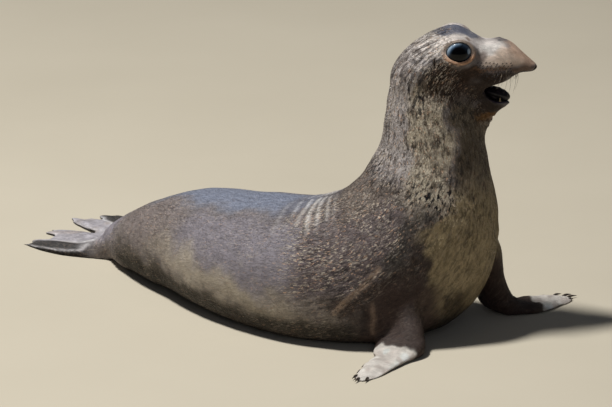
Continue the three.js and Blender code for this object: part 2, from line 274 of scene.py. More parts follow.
def spineFrames(perStretch=8):
    # points, forward directions, left directions and distances along the spine
    knots = np.array(spine)
    padded = np.vstack([2 * knots[0] - knots[1], knots, 2 * knots[-1] - knots[-2]])
    rows = []
    for i in range(1, len(padded) - 2):
        a, b, c, d = padded[i - 1:i + 3]
        for t in np.arange(perStretch) / perStretch:
            bend = 2 * a - 5 * b + 4 * c - d + t * (3 * (b - c) + d - a)
            rows.append(b + 0.5 * t * (c - a + t * bend))
    rows = np.array(rows + [knots[-1]])
    points, heading = rows[:, :3], np.radians(rows[:, 3])
    forward = unit(np.gradient(points, axis=0))
    left = np.stack([-np.sin(heading), np.cos(heading), 0 * heading], 1)
    left = unit(left - (left * forward).sum(1, keepdims=True) * forward)
    along = np.concatenate([[0], np.cumsum(np.linalg.norm(np.diff(points, axis=0), axis=1))])
    return points, forward, left, along


def bodyPlaces(points, blur=0.05):
    # Each point as if the body lay straight: distance along it, out to the left and out to the back,
    # and the direction from head to tail there.
    centre, forward, left, along = spineFrames()
    dorsal = np.cross(forward, left)
    straight = np.zeros((len(points), 3))
    lie = np.zeros((len(points), 3))
    for first in range(0, len(points), 20000):
        rows = slice(first, first + 20000)
        offset = points[rows, None, :] - centre[None]
        distance = (offset ** 2).sum(2)
        weight = np.exp(-(distance - distance.min(1, keepdims=True)) / (2 * blur ** 2))
        weight /= weight.sum(1, keepdims=True)
        reach = along[None] + (offset * forward[None]).sum(2).clip(-0.3, 0.3)
        straight[rows, 0] = (weight * reach).sum(1)
        straight[rows, 1] = (weight * (offset * left[None]).sum(2)).sum(1)
        straight[rows, 2] = (weight * (offset * dorsal[None]).sum(2)).sum(1)
        lie[rows] = -(weight[:, :, None] * forward[None]).sum(1)
    return straight, unit(lie)


def angleFromBack(straight):
    # degrees round the body, on either side of it
    return np.degrees(np.arctan2(np.abs(straight[:, 1]), straight[:, 2]))


# Skin: one closed surface in place of all pieces of flesh

skinSizes = {
    "voxel": 0.0092,
    "grow": 0.0012,        # so that the pieces overlap before they are made one
    "coatDepth": 0.0012,
    "lowest": 0.0008,      # the skin stays just above the floor
}
fleshNodes = ["head", "proboscis", "lower_jaw", "neck", "chest", "trunk", "rump", "tail"]


def mergedFlesh():
    # every piece a little larger, remeshed into one surface of even squares
    joined = bmesh.new()
    for name in [*fleshNodes, *limbs, "eye_right", "eye_left"]:
        one = bmesh.new()
        one.from_mesh(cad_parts[name].data)
        bmesh.ops.remove_doubles(one, verts=one.verts, dist=1e-5)
        one.normal_update()
        for v in one.verts:
            v.co += v.normal * skinSizes["grow"]
        grown = bpy.data.meshes.new("grown")
        one.to_mesh(grown)
        one.free()
        joined.from_mesh(grown)
        bpy.data.meshes.remove(grown)
    mesh = bpy.data.meshes.new("merged")
    joined.to_mesh(mesh)
    joined.free()
    item = bpy.data.objects.new("merged", mesh)
    bpy.context.scene.collection.objects.link(item)
    remesh = item.modifiers.new("remesh", "REMESH")
    remesh.mode = "VOXEL"
    remesh.voxel_size = skinSizes["voxel"]
    graph = bpy.context.evaluated_depsgraph_get()
    result = bpy.data.meshes.new_from_object(item.evaluated_get(graph))
    bpy.data.objects.remove(item)
    return result


# metres over which the surface is evened out: far on the trunk, little on hands and face
evenSizes = {"trunk": 0.046, "neckLess": 0.018, "face": 0.016, "mouth": 0.0045, "nose": 0.009,
             "hand": 0.008, "hindFlipper": 0.007, "arm": 0.026}


def skinReach(points, straight):
    reach = evenSizes["trunk"] - evenSizes["neckLess"] * smoothStep(1.3, 1.55, straight[:, 0])
    places = headPlaces(points)
    face = smoothStep(-0.12, -0.03, places[:, 0]) * smoothStep(0.66, 0.74, points[:, 2])
    reach = blendTo(reach, evenSizes["face"], face)
    nearMouth = 1 - smoothStep(0.05, 0.09, farFrom(points, headPoint(0.085, 0, 0.785)))
    reach = blendTo(reach, evenSizes["mouth"], nearMouth)
    nearNose = 1 - smoothStep(0.03, 0.08, farFrom(points, headPoint(0.19, 0, 0.862)))
    reach = blendTo(reach, evenSizes["nose"], nearNose)
    for name, line in limbs.items():
        thin = name.startswith("hind")
        hand = 1 - smoothStep(0.10, 0.17, distanceTo(points, line[-3 if thin else -2:]))
        reach = blendTo(reach, evenSizes["hindFlipper" if thin else "hand"], hand)
        arm = (1 - smoothStep(0.09, 0.16, distanceTo(points, line[:2]))) * (1 - hand)
        reach = blendTo(reach, evenSizes["arm"], arm)
    return reach


def refined(mesh, chosen):
    # halves the edges of the faces whose corners are all chosen
    work = bmesh.new()
    work.from_mesh(mesh)
    faces = [f for f in work.faces if all(chosen[v.index] for v in f.verts)]
    edges = list({e for f in faces for e in f.edges})
    bmesh.ops.subdivide_edges(work, edges=edges, cuts=1, use_grid_fill=True)
    odd = [f for f in work.faces if len(f.verts) > 4]
    bmesh.ops.triangulate(work, faces=odd)
    work.to_mesh(mesh)
    work.free()


# Face

eyeSizes = {
    "ahead": 10,           # degrees that the opening between the lids faces ahead of straight aside
    "rise": 13,
    "halfLength": 0.0395,  # of the opening
    "halfHeight": 0.0300,
    "lid": 0.0036,
    "behind": 0.004,       # inside the opening the skin lies this far behind the ball
    "skirt": 1.9,          # the lids run out into the face at this many times the opening
}
mouthMiddle = (0.070, 0, 0.788)     # as headPoint takes it
headLow = (0.62, 0.68)              # the head's markings fade in between these heights
earPlace = {"forward": -0.115, "height": 0.903}
nostrilPlace = {"forward": 0.205, "aside": 0.013, "height": 0.858}


def eyeAxes(side, facing=eyeSizes):
    # middle and radius of the eyeball, and directions out of the head, to the front and up
    low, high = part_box("eye_" + side)
    ahead, rise = math.radians(facing["ahead"]), math.radians(facing["rise"])
    out = sides[side] * headLeft * math.cos(ahead) + headForward * math.sin(ahead)
    out = out * math.cos(rise) + np.array([0, 0, math.sin(rise)])
    front = unit(headForward - (headForward @ out) * out)
    up = np.cross(out, front) * -sides[side]
    return np.array((low + high) / 2), (high[2] - low[2]) / 2, out, front, up


def eyeOpening(points, side):
    # how many times the opening's size each point lies from its middle, and its height on the ball
    centre, radius, out, front, up = eyeAxes(side)
    offset = points - centre
    x, y, z = offset @ front, offset @ up, offset @ out
    ring = np.hypot(x / eyeSizes["halfLength"], y / eyeSizes["halfHeight"])
    rim = np.hypot(x, y) / np.maximum(ring, 1e-6)
    rimHeight = np.sqrt(np.maximum(radius ** 2 - rim ** 2, 0))
    ballHeight = np.sqrt(np.maximum(radius ** 2 - x ** 2 - y ** 2, 0))
    facing = (z > 0.002) & (np.linalg.norm(offset, axis=1) < 2.2 * radius)
    return np.where(facing, ring, 99.0), z, rimHeight, ballHeight, out


def shapeEyelids(points, normals, side):
    ring, z, rimHeight, ballHeight, out = eyeOpening(points, side)
    facing = smoothStep(0.0, 0.4, normals @ out)
    lid = eyeSizes["lid"] * smoothStep(1.0, 1.07, ring)
    fold = 0.0011 * np.sin((ring - 1.18) * 22) * smoothStep(1.12, 1.25, ring)
    fold = fold * (1 - smoothStep(1.5, 1.9, ring))
    outside = rimHeight + lid
    blend = smoothStep(1.12, eyeSizes["skirt"], ring)
    blend = 1 - (1 - blend) * np.where(ring > 1.15, facing, 1)
    outside = blendTo(outside, z, blend) + fold * facing
    target = np.where(ring < 1, ballHeight - eyeSizes["behind"], outside)
    target = np.where(ring < eyeSizes["skirt"], target, z)
    points += (target - z)[:, None] * out


# dents and bumps of the face: forward, aside, height, size along each of them, and height in mm
faceForms = [
    (0.206, 0.013, 0.857, 0.009, 0.0055, 0.006, -9),      # nostril
    (0.196, 0.020, 0.866, 0.012, 0.006, 0.010, 1.6),      # wing of the nostril
    (0.070, 0.066, 0.846, 0.040, 0.030, 0.020, 4.5),      # whisker pad
    (0.104, 0.050, 0.836, 0.022, 0.026, 0.012, 3.0),      # hanging lip
    (-0.040, 0.070, 0.972, 0.050, 0.026, 0.014, 3.0),     # brow
    (-0.105, 0.125, 0.885, 0.026, 0.030, 0.030, -2.5),    # hollow before the ear
    (0.010, 0.098, 0.905, 0.022, 0.030, 0.020, -3.0),     # tear hollow in front of the eye
    (0.091, 0.020, 0.952, 0.009, 0.012, 0.010, 3.2),      # knob on the bridge of the nose
    (0.045, 0.000, 0.955, 0.022, 0.050, 0.020, -2.5),     # dip behind the knob
    (-0.010, 0.095, 0.800, 0.040, 0.030, 0.026, 3.5),     # cheek behind the mouth
    (-0.235, 0.000, 0.785, 0.070, 0.110, 0.050, 6.0),     # nape
    (0.098, 0.024, 0.748, 0.022, 0.022, 0.012, 5.0),      # full lower lip
]

# creases as lines on the right side, mirrored to the left where they are on the head
headCreases = [
    ([(0.018, 0.070, 0.762), (0.040, 0.062, 0.743), (0.066, 0.046, 0.712), (0.078, 0.0, 0.698)],
     0.0042, 3.2),
    ([(-0.010, 0.080, 0.716), (0.034, 0.060, 0.701), (0.057, 0.046, 0.691), (0.066, 0.0, 0.684)],
     0.0045, 3.0),
    ([(-0.030, 0.100, 0.772), (0.010, 0.086, 0.776), (0.036, 0.074, 0.797)], 0.006, 2.4),
    ([(-0.120, 0.050, 0.972), (-0.080, 0.048, 0.984), (-0.040, 0.056, 0.984)], 0.003, 1.4),
    ([(-0.135, 0.062, 0.958), (-0.095, 0.064, 0.972), (-0.055, 0.072, 0.974)], 0.003, 1.4),
]
bodyCreases = [
    ([(0.218, -0.262, 0.130), (0.255, -0.246, 0.175), (0.300, -0.212, 0.225), (0.330, -0.182, 0.275)],
     0.004, 2.4),
    ([(0.412, -0.106, 0.300), (0.420, -0.100, 0.235), (0.426, -0.090, 0.165), (0.424, -0.080, 0.100)],
     0.007, 3.0),
    ([(0.290, -0.215, 0.150), (0.312, -0.196, 0.120), (0.326, -0.186, 0.085)], 0.006, 4.0),
    ([(0.345, -0.205, 0.085), (0.352, -0.215, 0.060), (0.372, -0.220, 0.045)], 0.004, 2.2),
]
shoulderFolds = {
    "along": (1.000, 1.040, 1.079, 1.115, 1.148, 1.184, 1.218),
    "strength": (0.2, 0.35, 0.65, 1.0, 0.9, 0.55, 0.3),
    "bend": 0.020,         # further forward at the side than at the top
    "width": 0.0078,
    "height": 0.0042,
}


def earRing(places, length, height, ahead=0):
    # 1 on an upright ellipse of this size round the ear slit
    forward = places[:, 0] - earPlace["forward"] - ahead
    return np.hypot(forward / length, (places[:, 2] - earPlace["height"]) / height)


def folded(places):
    # both sides of the head laid onto its left
    return np.stack([places[:, 0], np.abs(places[:, 1]), places[:, 2]], 1)


def ovalSpan(places, oval):
    # squared distance from an oval's middle, 1 on the oval: its middle comes first, then its sizes
    x, y, z = ((places - oval[:3]) / oval[3:]).T ** 2
    return x + y + z


def pressCreases(push, points, creases, lips):
    # lowers push along the creases; lips is how high the skin stands up beside one, for its depth
    for line, width, depth in creases:
        far = distanceTo(points, line)
        push -= depth * millimetre * (hill(far, 0, width) - lips * hill(far, 2 * width, width))


def shapeFace(points, normals):
    places = headPlaces(points)
    near = points[:, 2] > headLow[0]
    push = np.zeros(len(points))
    for *oval, height in faceForms:
        push += height * millimetre * np.exp(-ovalSpan(folded(places), oval))
    pressCreases(push, folded(places), headCreases, 0.45)
    ear = earRing(places, 0.0032, 0.015)
    rim = earRing(places, 0.006, 0.019, 0.006)
    outward = np.abs(normals @ headLeft) > 0.4
    push += outward * (0.0022 * np.exp(-rim ** 2) - 0.0095 * np.exp(-ear ** 2))
    points += normals * (push * near)[:, None]


def foldRidges(straight):
    # strength of the pale folds over the shoulder, where the back bends up into the neck
    angle = angleFromBack(straight)
    ridge = np.zeros(len(straight))
    for at, strength in zip(shoulderFolds["along"], shoulderFolds["strength"]):
        middle = at + shoulderFolds["bend"] * (angle - 15) / 40 + 0.004 * np.sin(angle / 9 + 40 * at)
        ridge += strength * hill(straight[:, 0], middle, shoulderFolds["width"])
    end = angle + 8 * ripples(straight, 0.09, 5)
    return ridge * smoothStep(-2, 10, angle) * (1 - smoothStep(42, 66, end))


def shapeBody(points, normals, straight):
    push = shoulderFolds["height"] * (foldRidges(straight) - 0.25)
    angle = angleFromBack(straight)
    window = smoothStep(0.86, 0.98, straight[:, 0]) * (1 - smoothStep(1.22, 1.34, straight[:, 0]))
    push *= window * (1 - smoothStep(60, 90, angle))
    calm = 1 - smoothStep(1.75, 1.9, straight[:, 0])
    calm *= smoothStep(0.0, 0.2, straight[:, 0])
    push += calm * 0.0026 * ripples(points, 0.24, 1)
    push += calm * 0.0009 * ripples(points, 0.07, 2)
    # shallow rings of loose skin round the neck
    neck = smoothStep(1.40, 1.50, straight[:, 0]) * (1 - smoothStep(1.78, 1.86, straight[:, 0]))
    rings = straight[:, 0] + 0.012 * ripples(points, 0.16, 3)
    push += neck * 0.0004 * np.sin(rings * 2 * math.pi / 0.052)
    pressCreases(push, points, bodyCreases, 0.5)
    # small rings of skin above the tail
    tail = smoothStep(0.02, 0.08, straight[:, 0]) * (1 - smoothStep(0.2, 0.34, straight[:, 0]))
    push += tail * 0.0012 * np.sin(straight[:, 0] * 2 * math.pi / 0.024 + 2 * ripples(points, 0.1, 4))
    points += normals * push[:, None]


def fingerLines(side):
    # from the wrist to each claw
    wrist = np.array(limbs["fore_flipper_" + side][2]) + np.array([-0.01, 0, 0.02])
    lines = []
    for i in range(1, 6):
        claw = boxMiddle(f"claw_{side}_{i}")
        start = wrist + (claw - wrist) * np.array([0.12, 0.02, 0])
        lines.append([start, claw + np.array([0, 0, 0.003])])
    return lines


def shapeHands(points, normals):
    for side in sides:
        # the rim of the hand spreads on the ground
        near = 1 - smoothStep(0.10, 0.15, distanceTo(points, limbs["fore_flipper_" + side][2:]))
        level = normals * np.array([1, 1, 0])
        spread = near * smoothStep(0.4, 0.8, np.linalg.norm(level, axis=1)) * (points[:, 2] < 0.05)
        points += unit(level) * (0.006 * spread)[:, None]
        for start, claw in fingerLines(side):
            t = np.clip(shareAlong(points, start, claw), 0, 1)
            flat = (points - start - t[:, None] * (claw - start))[:, :2]
            ridge = hill(np.linalg.norm(flat, axis=1), 0, 0.011) * smoothStep(0.1, 0.4, t)
            knuckles = 1 + 0.5 * np.cos(t * 2 * math.pi * 3)
            low = points[:, 2] < 0.08
            points += normals * (ridge * knuckles * 0.0024 * low * (normals[:, 2] > 0))[:, None]


def buildSkin():
    mesh = mergedFlesh()
    points, edges = meshArrays(mesh)
    straight = bodyPlaces(points)[0]
    points = relaxed(points, edges, skinReach(points, straight))
    setPoints(mesh, points)
    points -= vertexNormals(mesh) * (skinSizes["grow"] + skinSizes["coatDepth"])
    setPoints(mesh, points)
    print("merged flesh:", len(points), "points")

    # finer squares on the head and the hands, finest round eyes, mouth and nose
    hands = np.minimum(*[distanceTo(points, limbs["fore_flipper_" + side][-2:]) for side in sides])
    head = (straight[:, 0] > 1.88) | (hands < 0.09)
    refined(mesh, head)
    for eyeReach, mouthReach in ((0.075, 0.075), (0.054, 0.0)):
        points, edges = meshArrays(mesh)
        points = relaxed(points, edges, np.full(len(points), 0.004), 12)
        setPoints(mesh, points)
        chosen = farFrom(points, headPoint(0.080, 0, 0.790)) < mouthReach
        chosen |= farFrom(points, headPoint(0.205, 0, 0.862)) < mouthReach * 0.45
        for side in sides:
            centre, _, out, _, _ = eyeAxes(side)
            chosen |= (farFrom(points, centre) < eyeReach) & ((points - centre) @ out > 0.01)
            ear = headPoint(earPlace["forward"], sides[side] * 0.135, earPlace["height"])
            chosen |= farFrom(points, ear) < mouthReach * 0.35
        refined(mesh, chosen)
    points, edges = meshArrays(mesh)
    points = relaxed(points, edges, np.full(len(points), 0.0025), 8)
    setPoints(mesh, points)

    straight = bodyPlaces(points)[0]
    normals = vertexNormals(mesh)
    shapeBody(points, normals, straight)
    shapeFace(points, normals)
    shapeHands(points, normals)
    for side in sides:
        shapeEyelids(points, normals, side)
    points[:, 2] = np.maximum(points[:, 2], skinSizes["lowest"])
    setPoints(mesh, points)
    return mesh


skinMesh = buildSkin()
skinFaces = sum(len(p.vertices) - 2 for p in skinMesh.polygons)
print("skin:", len(skinMesh.vertices), "points,", skinFaces, "triangles")

# Markings, painted by where each point lies on the body

bodyZones = [
    # colour, from and to along the body, from and to in degrees round from the back, soft edges, strength,
    # how many degrees the edges lean for each metre behind a place along the body, and that place
    ("#7f8699", 0.42, 1.20, -30, 32, 0.22, 28, 0.92, 0, 0),     # blue grey back: a painted sheen of the sky on the wet top
    ("#7d7880", 0.62, 1.16, 42, 96, 0.20, 26, 0.90, 0, 0),      # grey lilac flank
    ("#7c7270", 0.26, 0.60, 24, 84, 0.18, 28, 0.80, 0, 0),      # warmer towards the rump
    ("#aba08d", 0.54, 1.13, 106, 128, 0.30, 22, 0.70, 50, 1.2),   # greenish tan along the lower flank
    ("#4a433a", 0.26, 1.00, 129, 190, 0.14, 14, 0.90, 50, 1.2),   # damp underside, darkened further as painted shade
    ("#8f8a95", -0.60, 0.22, -20, 84, 0.09, 26, 0.85, 0, 0),    # lilac over the tail
    ("#49403e", 1.10, 1.27, -20, 60, 0.09, 20, 0.80, 0, 0),     # dark over the shoulder blades
    ("#5d5253", 1.10, 1.46, 40, 102, 0.12, 22, 0.90, 0, 0),     # shoulder
    ("#60564f", 1.24, 1.50, -20, 62, 0.09, 22, 0.80, 0, 0),
    ("#3b302b", 1.16, 1.46, 101, 128, 0.08, 12, 0.92, 0, 0),    # upper arm
    ("#aca5a3", 1.54, 2.02, -20, 64, 0.12, 20, 0.90, 0, 0),     # dry pale nape
    ("#b6ab98", 1.48, 1.92, 62, 106, 0.12, 14, 0.90, 0, 0),
    ("#5a5042", 1.58, 1.86, 116, 190, 0.09, 12, 0.95, 0, 0),    # dark wet front of the neck
    ("#928365", 1.10, 1.58, 107, 190, 0.09, 8, 0.95, -160, 1.45),    # olive chest
    ("#37332f", 1.30, 1.47, 89, 103, 0.07, 9, 0.85, 0, 0),      # dark strip beside the chest
    ("#352c20", 1.02, 1.37, 149, 190, 0.06, 12, 0.90, 0, 0),    # damp below the chest, darkened further as painted shade
]
headZones = [
    # colour, forward, aside, height, size along each, strength
    ("#d0c7c1", -0.100, 0.060, 0.950, 0.110, 0.090, 0.060, 0.92),   # pale dry top of the head
    ("#4a5063", -0.065, 0.020, 0.985, 0.100, 0.050, 0.019, 0.92),   # wet patch on the crown
    ("#555a69", 0.002, 0.016, 0.970, 0.036, 0.040, 0.011, 0.80),
    ("#33231a", -0.070, 0.125, 0.835, 0.105, 0.070, 0.066, 0.95),   # brown cheek, darkened further as painted shade
    ("#271b13", 0.045, 0.075, 0.800, 0.080, 0.060, 0.050, 0.95),
    ("#31231a", 0.000, 0.110, 0.864, 0.060, 0.050, 0.026, 0.95),    # dark brown below the eye, deepened as painted shade
    ("#38281e", -0.095, 0.130, 0.880, 0.040, 0.050, 0.040, 0.85),   # and between eye and ear, also painted shade
    ("#d2cac5", 0.060, 0.045, 0.922, 0.070, 0.052, 0.040, 0.95),    # pale grey between eye and nose, lightened as painted sheen, as is the next row
    ("#cfb8a6", 0.120, 0.045, 0.905, 0.060, 0.050, 0.034, 0.90),
    ("#b89c88", 0.150, 0.010, 0.920, 0.060, 0.045, 0.034, 0.85),    # pinkish tan nose
    ("#a68a76", 0.185, 0.016, 0.885, 0.040, 0.040, 0.022, 0.85),
    ("#6b5142", -0.020, 0.075, 0.957, 0.020, 0.030, 0.014, 0.75),   # brown in front of the brow
    ("#7d6d66", 0.030, 0.085, 0.914, 0.026, 0.040, 0.014, 0.75),    # hollow before the eye
    ("#cbb8a8", 0.082, 0.070, 0.897, 0.060, 0.040, 0.017, 0.85),    # whisker pad
    ("#6a4f3b", 0.060, 0.070, 0.874, 0.075, 0.050, 0.010, 0.75),
    ("#2a1d15", 0.074, 0.070, 0.847, 0.066, 0.050, 0.020, 0.95),    # dark hanging lip
    ("#5f493b", 0.150, 0.030, 0.862, 0.055, 0.040, 0.012, 0.80),    # darker low side of the nose: painted shade
    ("#2b1e1a", 0.165, 0.020, 0.845, 0.080, 0.050, 0.010, 0.92),    # and its underside, painted shadow
    ("#3b3c44", 0.089, 0.020, 0.955, 0.013, 0.016, 0.011, 0.90),    # scar on the knob
    ("#43342f", 0.219, 0.000, 0.858, 0.013, 0.026, 0.024, 0.85),    # leathery tip, darkened as painted shade round the nostrils
    ("#2a1d12", 0.055, 0.050, 0.735, 0.065, 0.060, 0.032, 0.92),    # dark lower jaw, partly painted shade under the head
    ("#755228", 0.050, 0.050, 0.713, 0.050, 0.060, 0.016, 0.65),    # ochre in the folds of the throat
]
# the lower lip's sheen is a painted highlight; the near black of the flippers' sides, of the fold behind the
# arm, of the inside of the mouth and of the nostrils is painted shade; damp is partly painted shade near the
# ground
partZones = {
    "arm": "#3a2d29", "hand": "#d6d1ca", "wristBand": "#ddd8cf", "webs": "#a89b93",
    "hindTop": "#aeaab0", "hindWarm": "#8d7a68", "hindRim": "#120f0e", "damp": "#2a251f", "sole": "#2e2825",
    "lidRim": "#241b18", "eyeRing": "#b98d6c", "lidTop": "#b5a294", "mouth": "#07060a", "lip": "#1d1419",
    "lowerLipSheen": "#43364c", "hindEdge": "#dcd8da", "rearDark": "#4b413e", "armEdge": "#a58c78",
    "foldRidge": "#d2cdc9", "foldDark": "#544e52", "axilla": "#b59c86", "earSlit": "#1d1715",
    "nostril": "#120e0d",
}
toneGain = 1.5         # makes up for the flecks, the parted hair and the shade between the tufts
toneMost = 0.92
farHandBack = 0.42     # the left hand is pale only beyond this share of its length
# where the pale flecks, the dark flecks and the wet sheen are strong, laid out as in bodyZones
markZones = [
    # pale flecks, dark flecks, wetness
    ((0.12, 0.20, 0.75), 0.50, 1.15, -20, 40, 0.10, 16),
    ((0.30, 0.15, 0.45), 0.60, 1.15, 50, 128, 0.10, 16),
    ((0.40, 0.30, 0.25), 0.20, 0.62, 20, 112, 0.10, 16),
    ((0.95, 0.50, 0.40), 1.06, 1.46, 20, 100, 0.07, 14),
    ((0.30, 0.50, 0.45), 1.10, 1.46, 100, 140, 0.07, 14),
    ((1.00, 1.00, 0.15), 1.46, 1.98, -20, 112, 0.07, 10),
    ((0.30, 0.75, 0.70), 1.46, 1.86, 116, 190, 0.07, 10),
    ((0.15, 0.45, 0.50), 1.12, 1.47, 116, 190, 0.07, 10),
    ((0.06, 0.12, 0.35), 1.94, 2.90, -20, 190, 0.05, 10),
]


def band(x, low, high, soft):
    half = soft / 2
    return smoothStep(low - half, low + half, x) * (1 - smoothStep(high - half, high + half, x))


def patchShare(along, angle, limits):
    # limits: from and to along the body, from and to round it, and the soft edge of each
    fromAlong, toAlong, fromAngle, toAngle, softAlong, softAngle = limits
    return band(along, fromAlong, toAlong, softAlong) * band(angle, fromAngle, toAngle, softAngle)


def partShares(points):
    # how far each point belongs to the arms, the hands and the hind flippers
    arm, hand, hind = np.zeros(len(points)), np.zeros(len(points)), np.zeros(len(points))
    for name, line in limbs.items():
        if name.startswith("hind"):
            hind = np.maximum(hind, 1 - smoothStep(0.10, 0.15, distanceTo(points, line[1:])))
            continue
        low = 1 - smoothStep(0.20, 0.27, points[:, 2] + 0.02 * ripples(points, 0.07, 31))
        arm = np.maximum(arm, low * (1 - smoothStep(0.085, 0.150, distanceTo(points, line[:3]))))
        wrist, tip = np.array(line[2]), np.array(line[3])
        t = shareAlong(points, wrist, tip)
        near = 1 - smoothStep(0.12, 0.17, distanceTo(points, line[2:]))
        t -= farHandBack * (name == "fore_flipper_left")
        hand = np.maximum(hand, near * smoothStep(-0.14, -0.03, t + 0.05 * ripples(points, 0.05, 32)))
    return arm, hand, hind


def paint(points, normals, straight):
    # colour, then pale flecks, dark flecks and wetness
    places = headPlaces(points)
    angle = angleFromBack(straight)
    along = straight[:, 0] + 0.030 * ripples(points, 0.16, 33) + 0.014 * ripples(points, 0.05, 34)
    angle = angle + 9 * ripples(points, 0.15, 35) + 4 * ripples(points, 0.045, 36)
    tone = np.tile(hexColour("#736c6b")[:3], (len(points), 1))
    marks = np.tile((0.35, 0.25, 0.3), (len(points), 1))

    def lay(colour, share):
        # colour is a hex code or the name of one in partZones
        wanted = np.array(hexColour(partZones.get(colour, colour))[:3])
        tone[:] += (wanted - tone) * np.clip(share, 0, 1)[:, None]

    def mark(values, share):
        marks[:] += (np.array(values) - marks) * np.clip(share, 0, 1)[:, None]

    for colour, *limits, strength, lean, leanFrom in bodyZones:
        leaned = angle - lean * np.minimum(along - leanFrom, 0)
        lay(colour, strength * patchShare(along, leaned, limits))
    for values, *limits in markZones:
        mark(values, patchShare(along, angle, limits))
    wander = places + 0.008 * np.stack([ripples(points, 0.05, 37 + i) for i in range(3)], 1)
    for colour, *oval, strength in headZones:
        share = 1 - smoothStep(0.35, 1.25, ovalSpan(folded(wander), oval))
        lay(colour, strength * share * smoothStep(*headLow, points[:, 2]))
    folds = foldRidges(straight)
    shoulder = band(straight[:, 0], 0.98, 1.25, 0.08)
    # darker within about 10 cm of the ground along the body: damp, and painted contact shade
    damp = 1 - smoothStep(0.065, 0.110, points[:, 2] + 0.014 * ripples(points, 0.10, 44))
    lay("damp", 0.96 * damp * band(straight[:, 0], 0.22, 1.36, 0.10))
    between = (1 - smoothStep(0.05, 0.4, folds)) * (1 - smoothStep(38, 66, angle))
    lay("foldDark", 0.5 * shoulder * between)
    lay("foldRidge", 0.95 * folds * shoulder)

    rear = smoothStep(-0.10, -0.17, places[:, 0]) * smoothStep(0.76, 0.82, points[:, 2])
    mark((0.60, 1.0, 0.30), rear)
    lay("rearDark", 0.7 * rear * smoothStep(0.0, 0.5, ripples(points, 0.045, 47)))

    arm, hand, hind = partShares(points)
    lay("arm", 0.95 * arm)
    mark((0.06, 0.3, 0.45), arm)
    # the arm's hind edge is painted pale, and the fold behind it is painted dark as shadow
    edge = arm * (points[:, 1] < -0.1) * (points[:, 2] > 0.05)
    paleEdgeStrip = hill(places[:, 0] + 0.004 * ripples(points, 0.03, 46), -0.306, 0.008)
    lay("armEdge", 0.4 * edge * (points[:, 2] < 0.17) * paleEdgeStrip)
    lay("hindRim", 0.7 * edge * hill(places[:, 0], -0.336, 0.014))
    lay("hand", hand * smoothStep(-0.3, 0.3, normals[:, 2]))
    lay("sole", hand * (1 - smoothStep(-0.5, -0.1, normals[:, 2])))
    lay("wristBand", hill(hand, 0.5, 0.25) * smoothStep(0.0, 0.4, normals[:, 2]) * 0.8)
    lay("webs", 0.5 * hand * smoothStep(0.0, 0.6, ripples(points, 0.045, 45)))
    mark((0.03, 0.06, 0.35), hand)
    for side in sides:
        for start, claw in fingerLines(side):
            gap = distanceTo(points[:, :2], [start[:2], claw[:2]])
            lay("webs", hand * band(gap, 0.014, 0.05, 0.01) * 0.12)
    lay("hindTop", hind * (0.75 + 0.4 * ripples(points, 0.06, 41)))
    lay("hindWarm", hind * smoothStep(0.1, 0.7, ripples(points, 0.11, 42)) * 0.45)
    for side, sign in sides.items():
        # the outer side of each folded flipper is painted dark as shade
        (x, y, _), (endX, endY, _) = limbs["hind_flipper_" + side][1:]
        middle = y + (endY - y) * (points[:, 0] - x) / (endX - x)
        share = np.clip((points[:, 0] - x) / (endX - x), 0, 1)
        outer = sign * (points[:, 1] - middle) + 0.006 * ripples(points, 0.05, 43) - 0.034 - 0.018 * share
        lay("hindEdge", hind * hill(outer, -0.004, 0.006))
        lay("hindRim", hind * smoothStep(0.0, 0.014, outer))
    lay("hindEdge", 0.6 * hind * hill(normals[:, 2], 0.75, 0.15))
    # the steep sides and undersides of the hind flippers are painted dark as shade
    lay("hindRim", hind * (1 - smoothStep(0.25, 0.6, normals[:, 2])))
    mark((0.2, 0.3, 0.4), hind)
    lay("axilla", 0.6 * hill(distanceTo(points, bodyCreases[0][0]), 0.005, 0.0035))

    # lids, ear slit, nostrils and mouth
    for side in sides:
        ring = eyeOpening(points, side)[0]
        centre, radius, _, _, up = eyeAxes(side)
        below = smoothStep(0.3, -0.5, (points - centre) @ up / radius)
        lay("eyeRing", 0.85 * band(ring, 1.02, 1.40, 0.12) * below)
        lay("lidTop", 0.7 * band(ring, 1.02, 1.30, 0.12) * (1 - below))
        lay("lidRim", 1 - smoothStep(0.99, 1.035, ring))
        mark((0, 0, 1), 1 - smoothStep(1.1, 1.3, ring))
    ear = earRing(places, 0.0042, 0.016)
    lay("earSlit", (1 - smoothStep(0.5, 1.2, ear)) * (np.abs(normals @ headLeft) > 0.4))
    nose = headPoint(nostrilPlace["forward"], 0, nostrilPlace["height"])
    hole = [farFrom(points - nose, s * nostrilPlace["aside"] * headLeft) for s in (-1, 1)]
    # the nostril openings are painted near black: painted shade inside them
    lay("nostril", 1 - smoothStep(0.006, 0.011, np.minimum(*hole)))
    offset = headPoint(*mouthMiddle) - points
    near = 1 - smoothStep(0.060, 0.078, np.linalg.norm(offset * [1, 1, 1.25], axis=1))
    facing = (unit(offset) * normals).sum(1)
    lay("lip", near * band(facing, -0.35, 0.25, 0.25) * 0.95)
    front = smoothStep(0.055, 0.075, places[:, 0]) * (places[:, 2] < 0.778)
    # a purple blue painted highlight along the wet lower lip
    lay("lowerLipSheen", near * band(facing, -0.30, 0.20, 0.2) * front * 0.8)
    # the inside of the mouth is painted near black: painted shade
    lay("mouth", near * smoothStep(0.05, 0.3, facing))
    mark((0.05, 0.0, 1.0), near * smoothStep(-0.2, 0.1, facing))
    return np.clip(tone * toneGain, 0, toneMost), np.clip(marks, 0, 1)


def storeLook(mesh, tone, marks, grain):
    colours = np.column_stack([tone, np.ones(len(tone))])
    layers = [("tone", "FLOAT_COLOR", "color", colours), ("marks", "FLOAT_VECTOR", "vector", marks),
              ("grain", "FLOAT_VECTOR", "vector", grain)]
    for name, kind, key, values in layers:
        layer = mesh.attributes.new(name, kind, "POINT")
        layer.data.foreach_set(key, values.astype(np.float32).ravel())


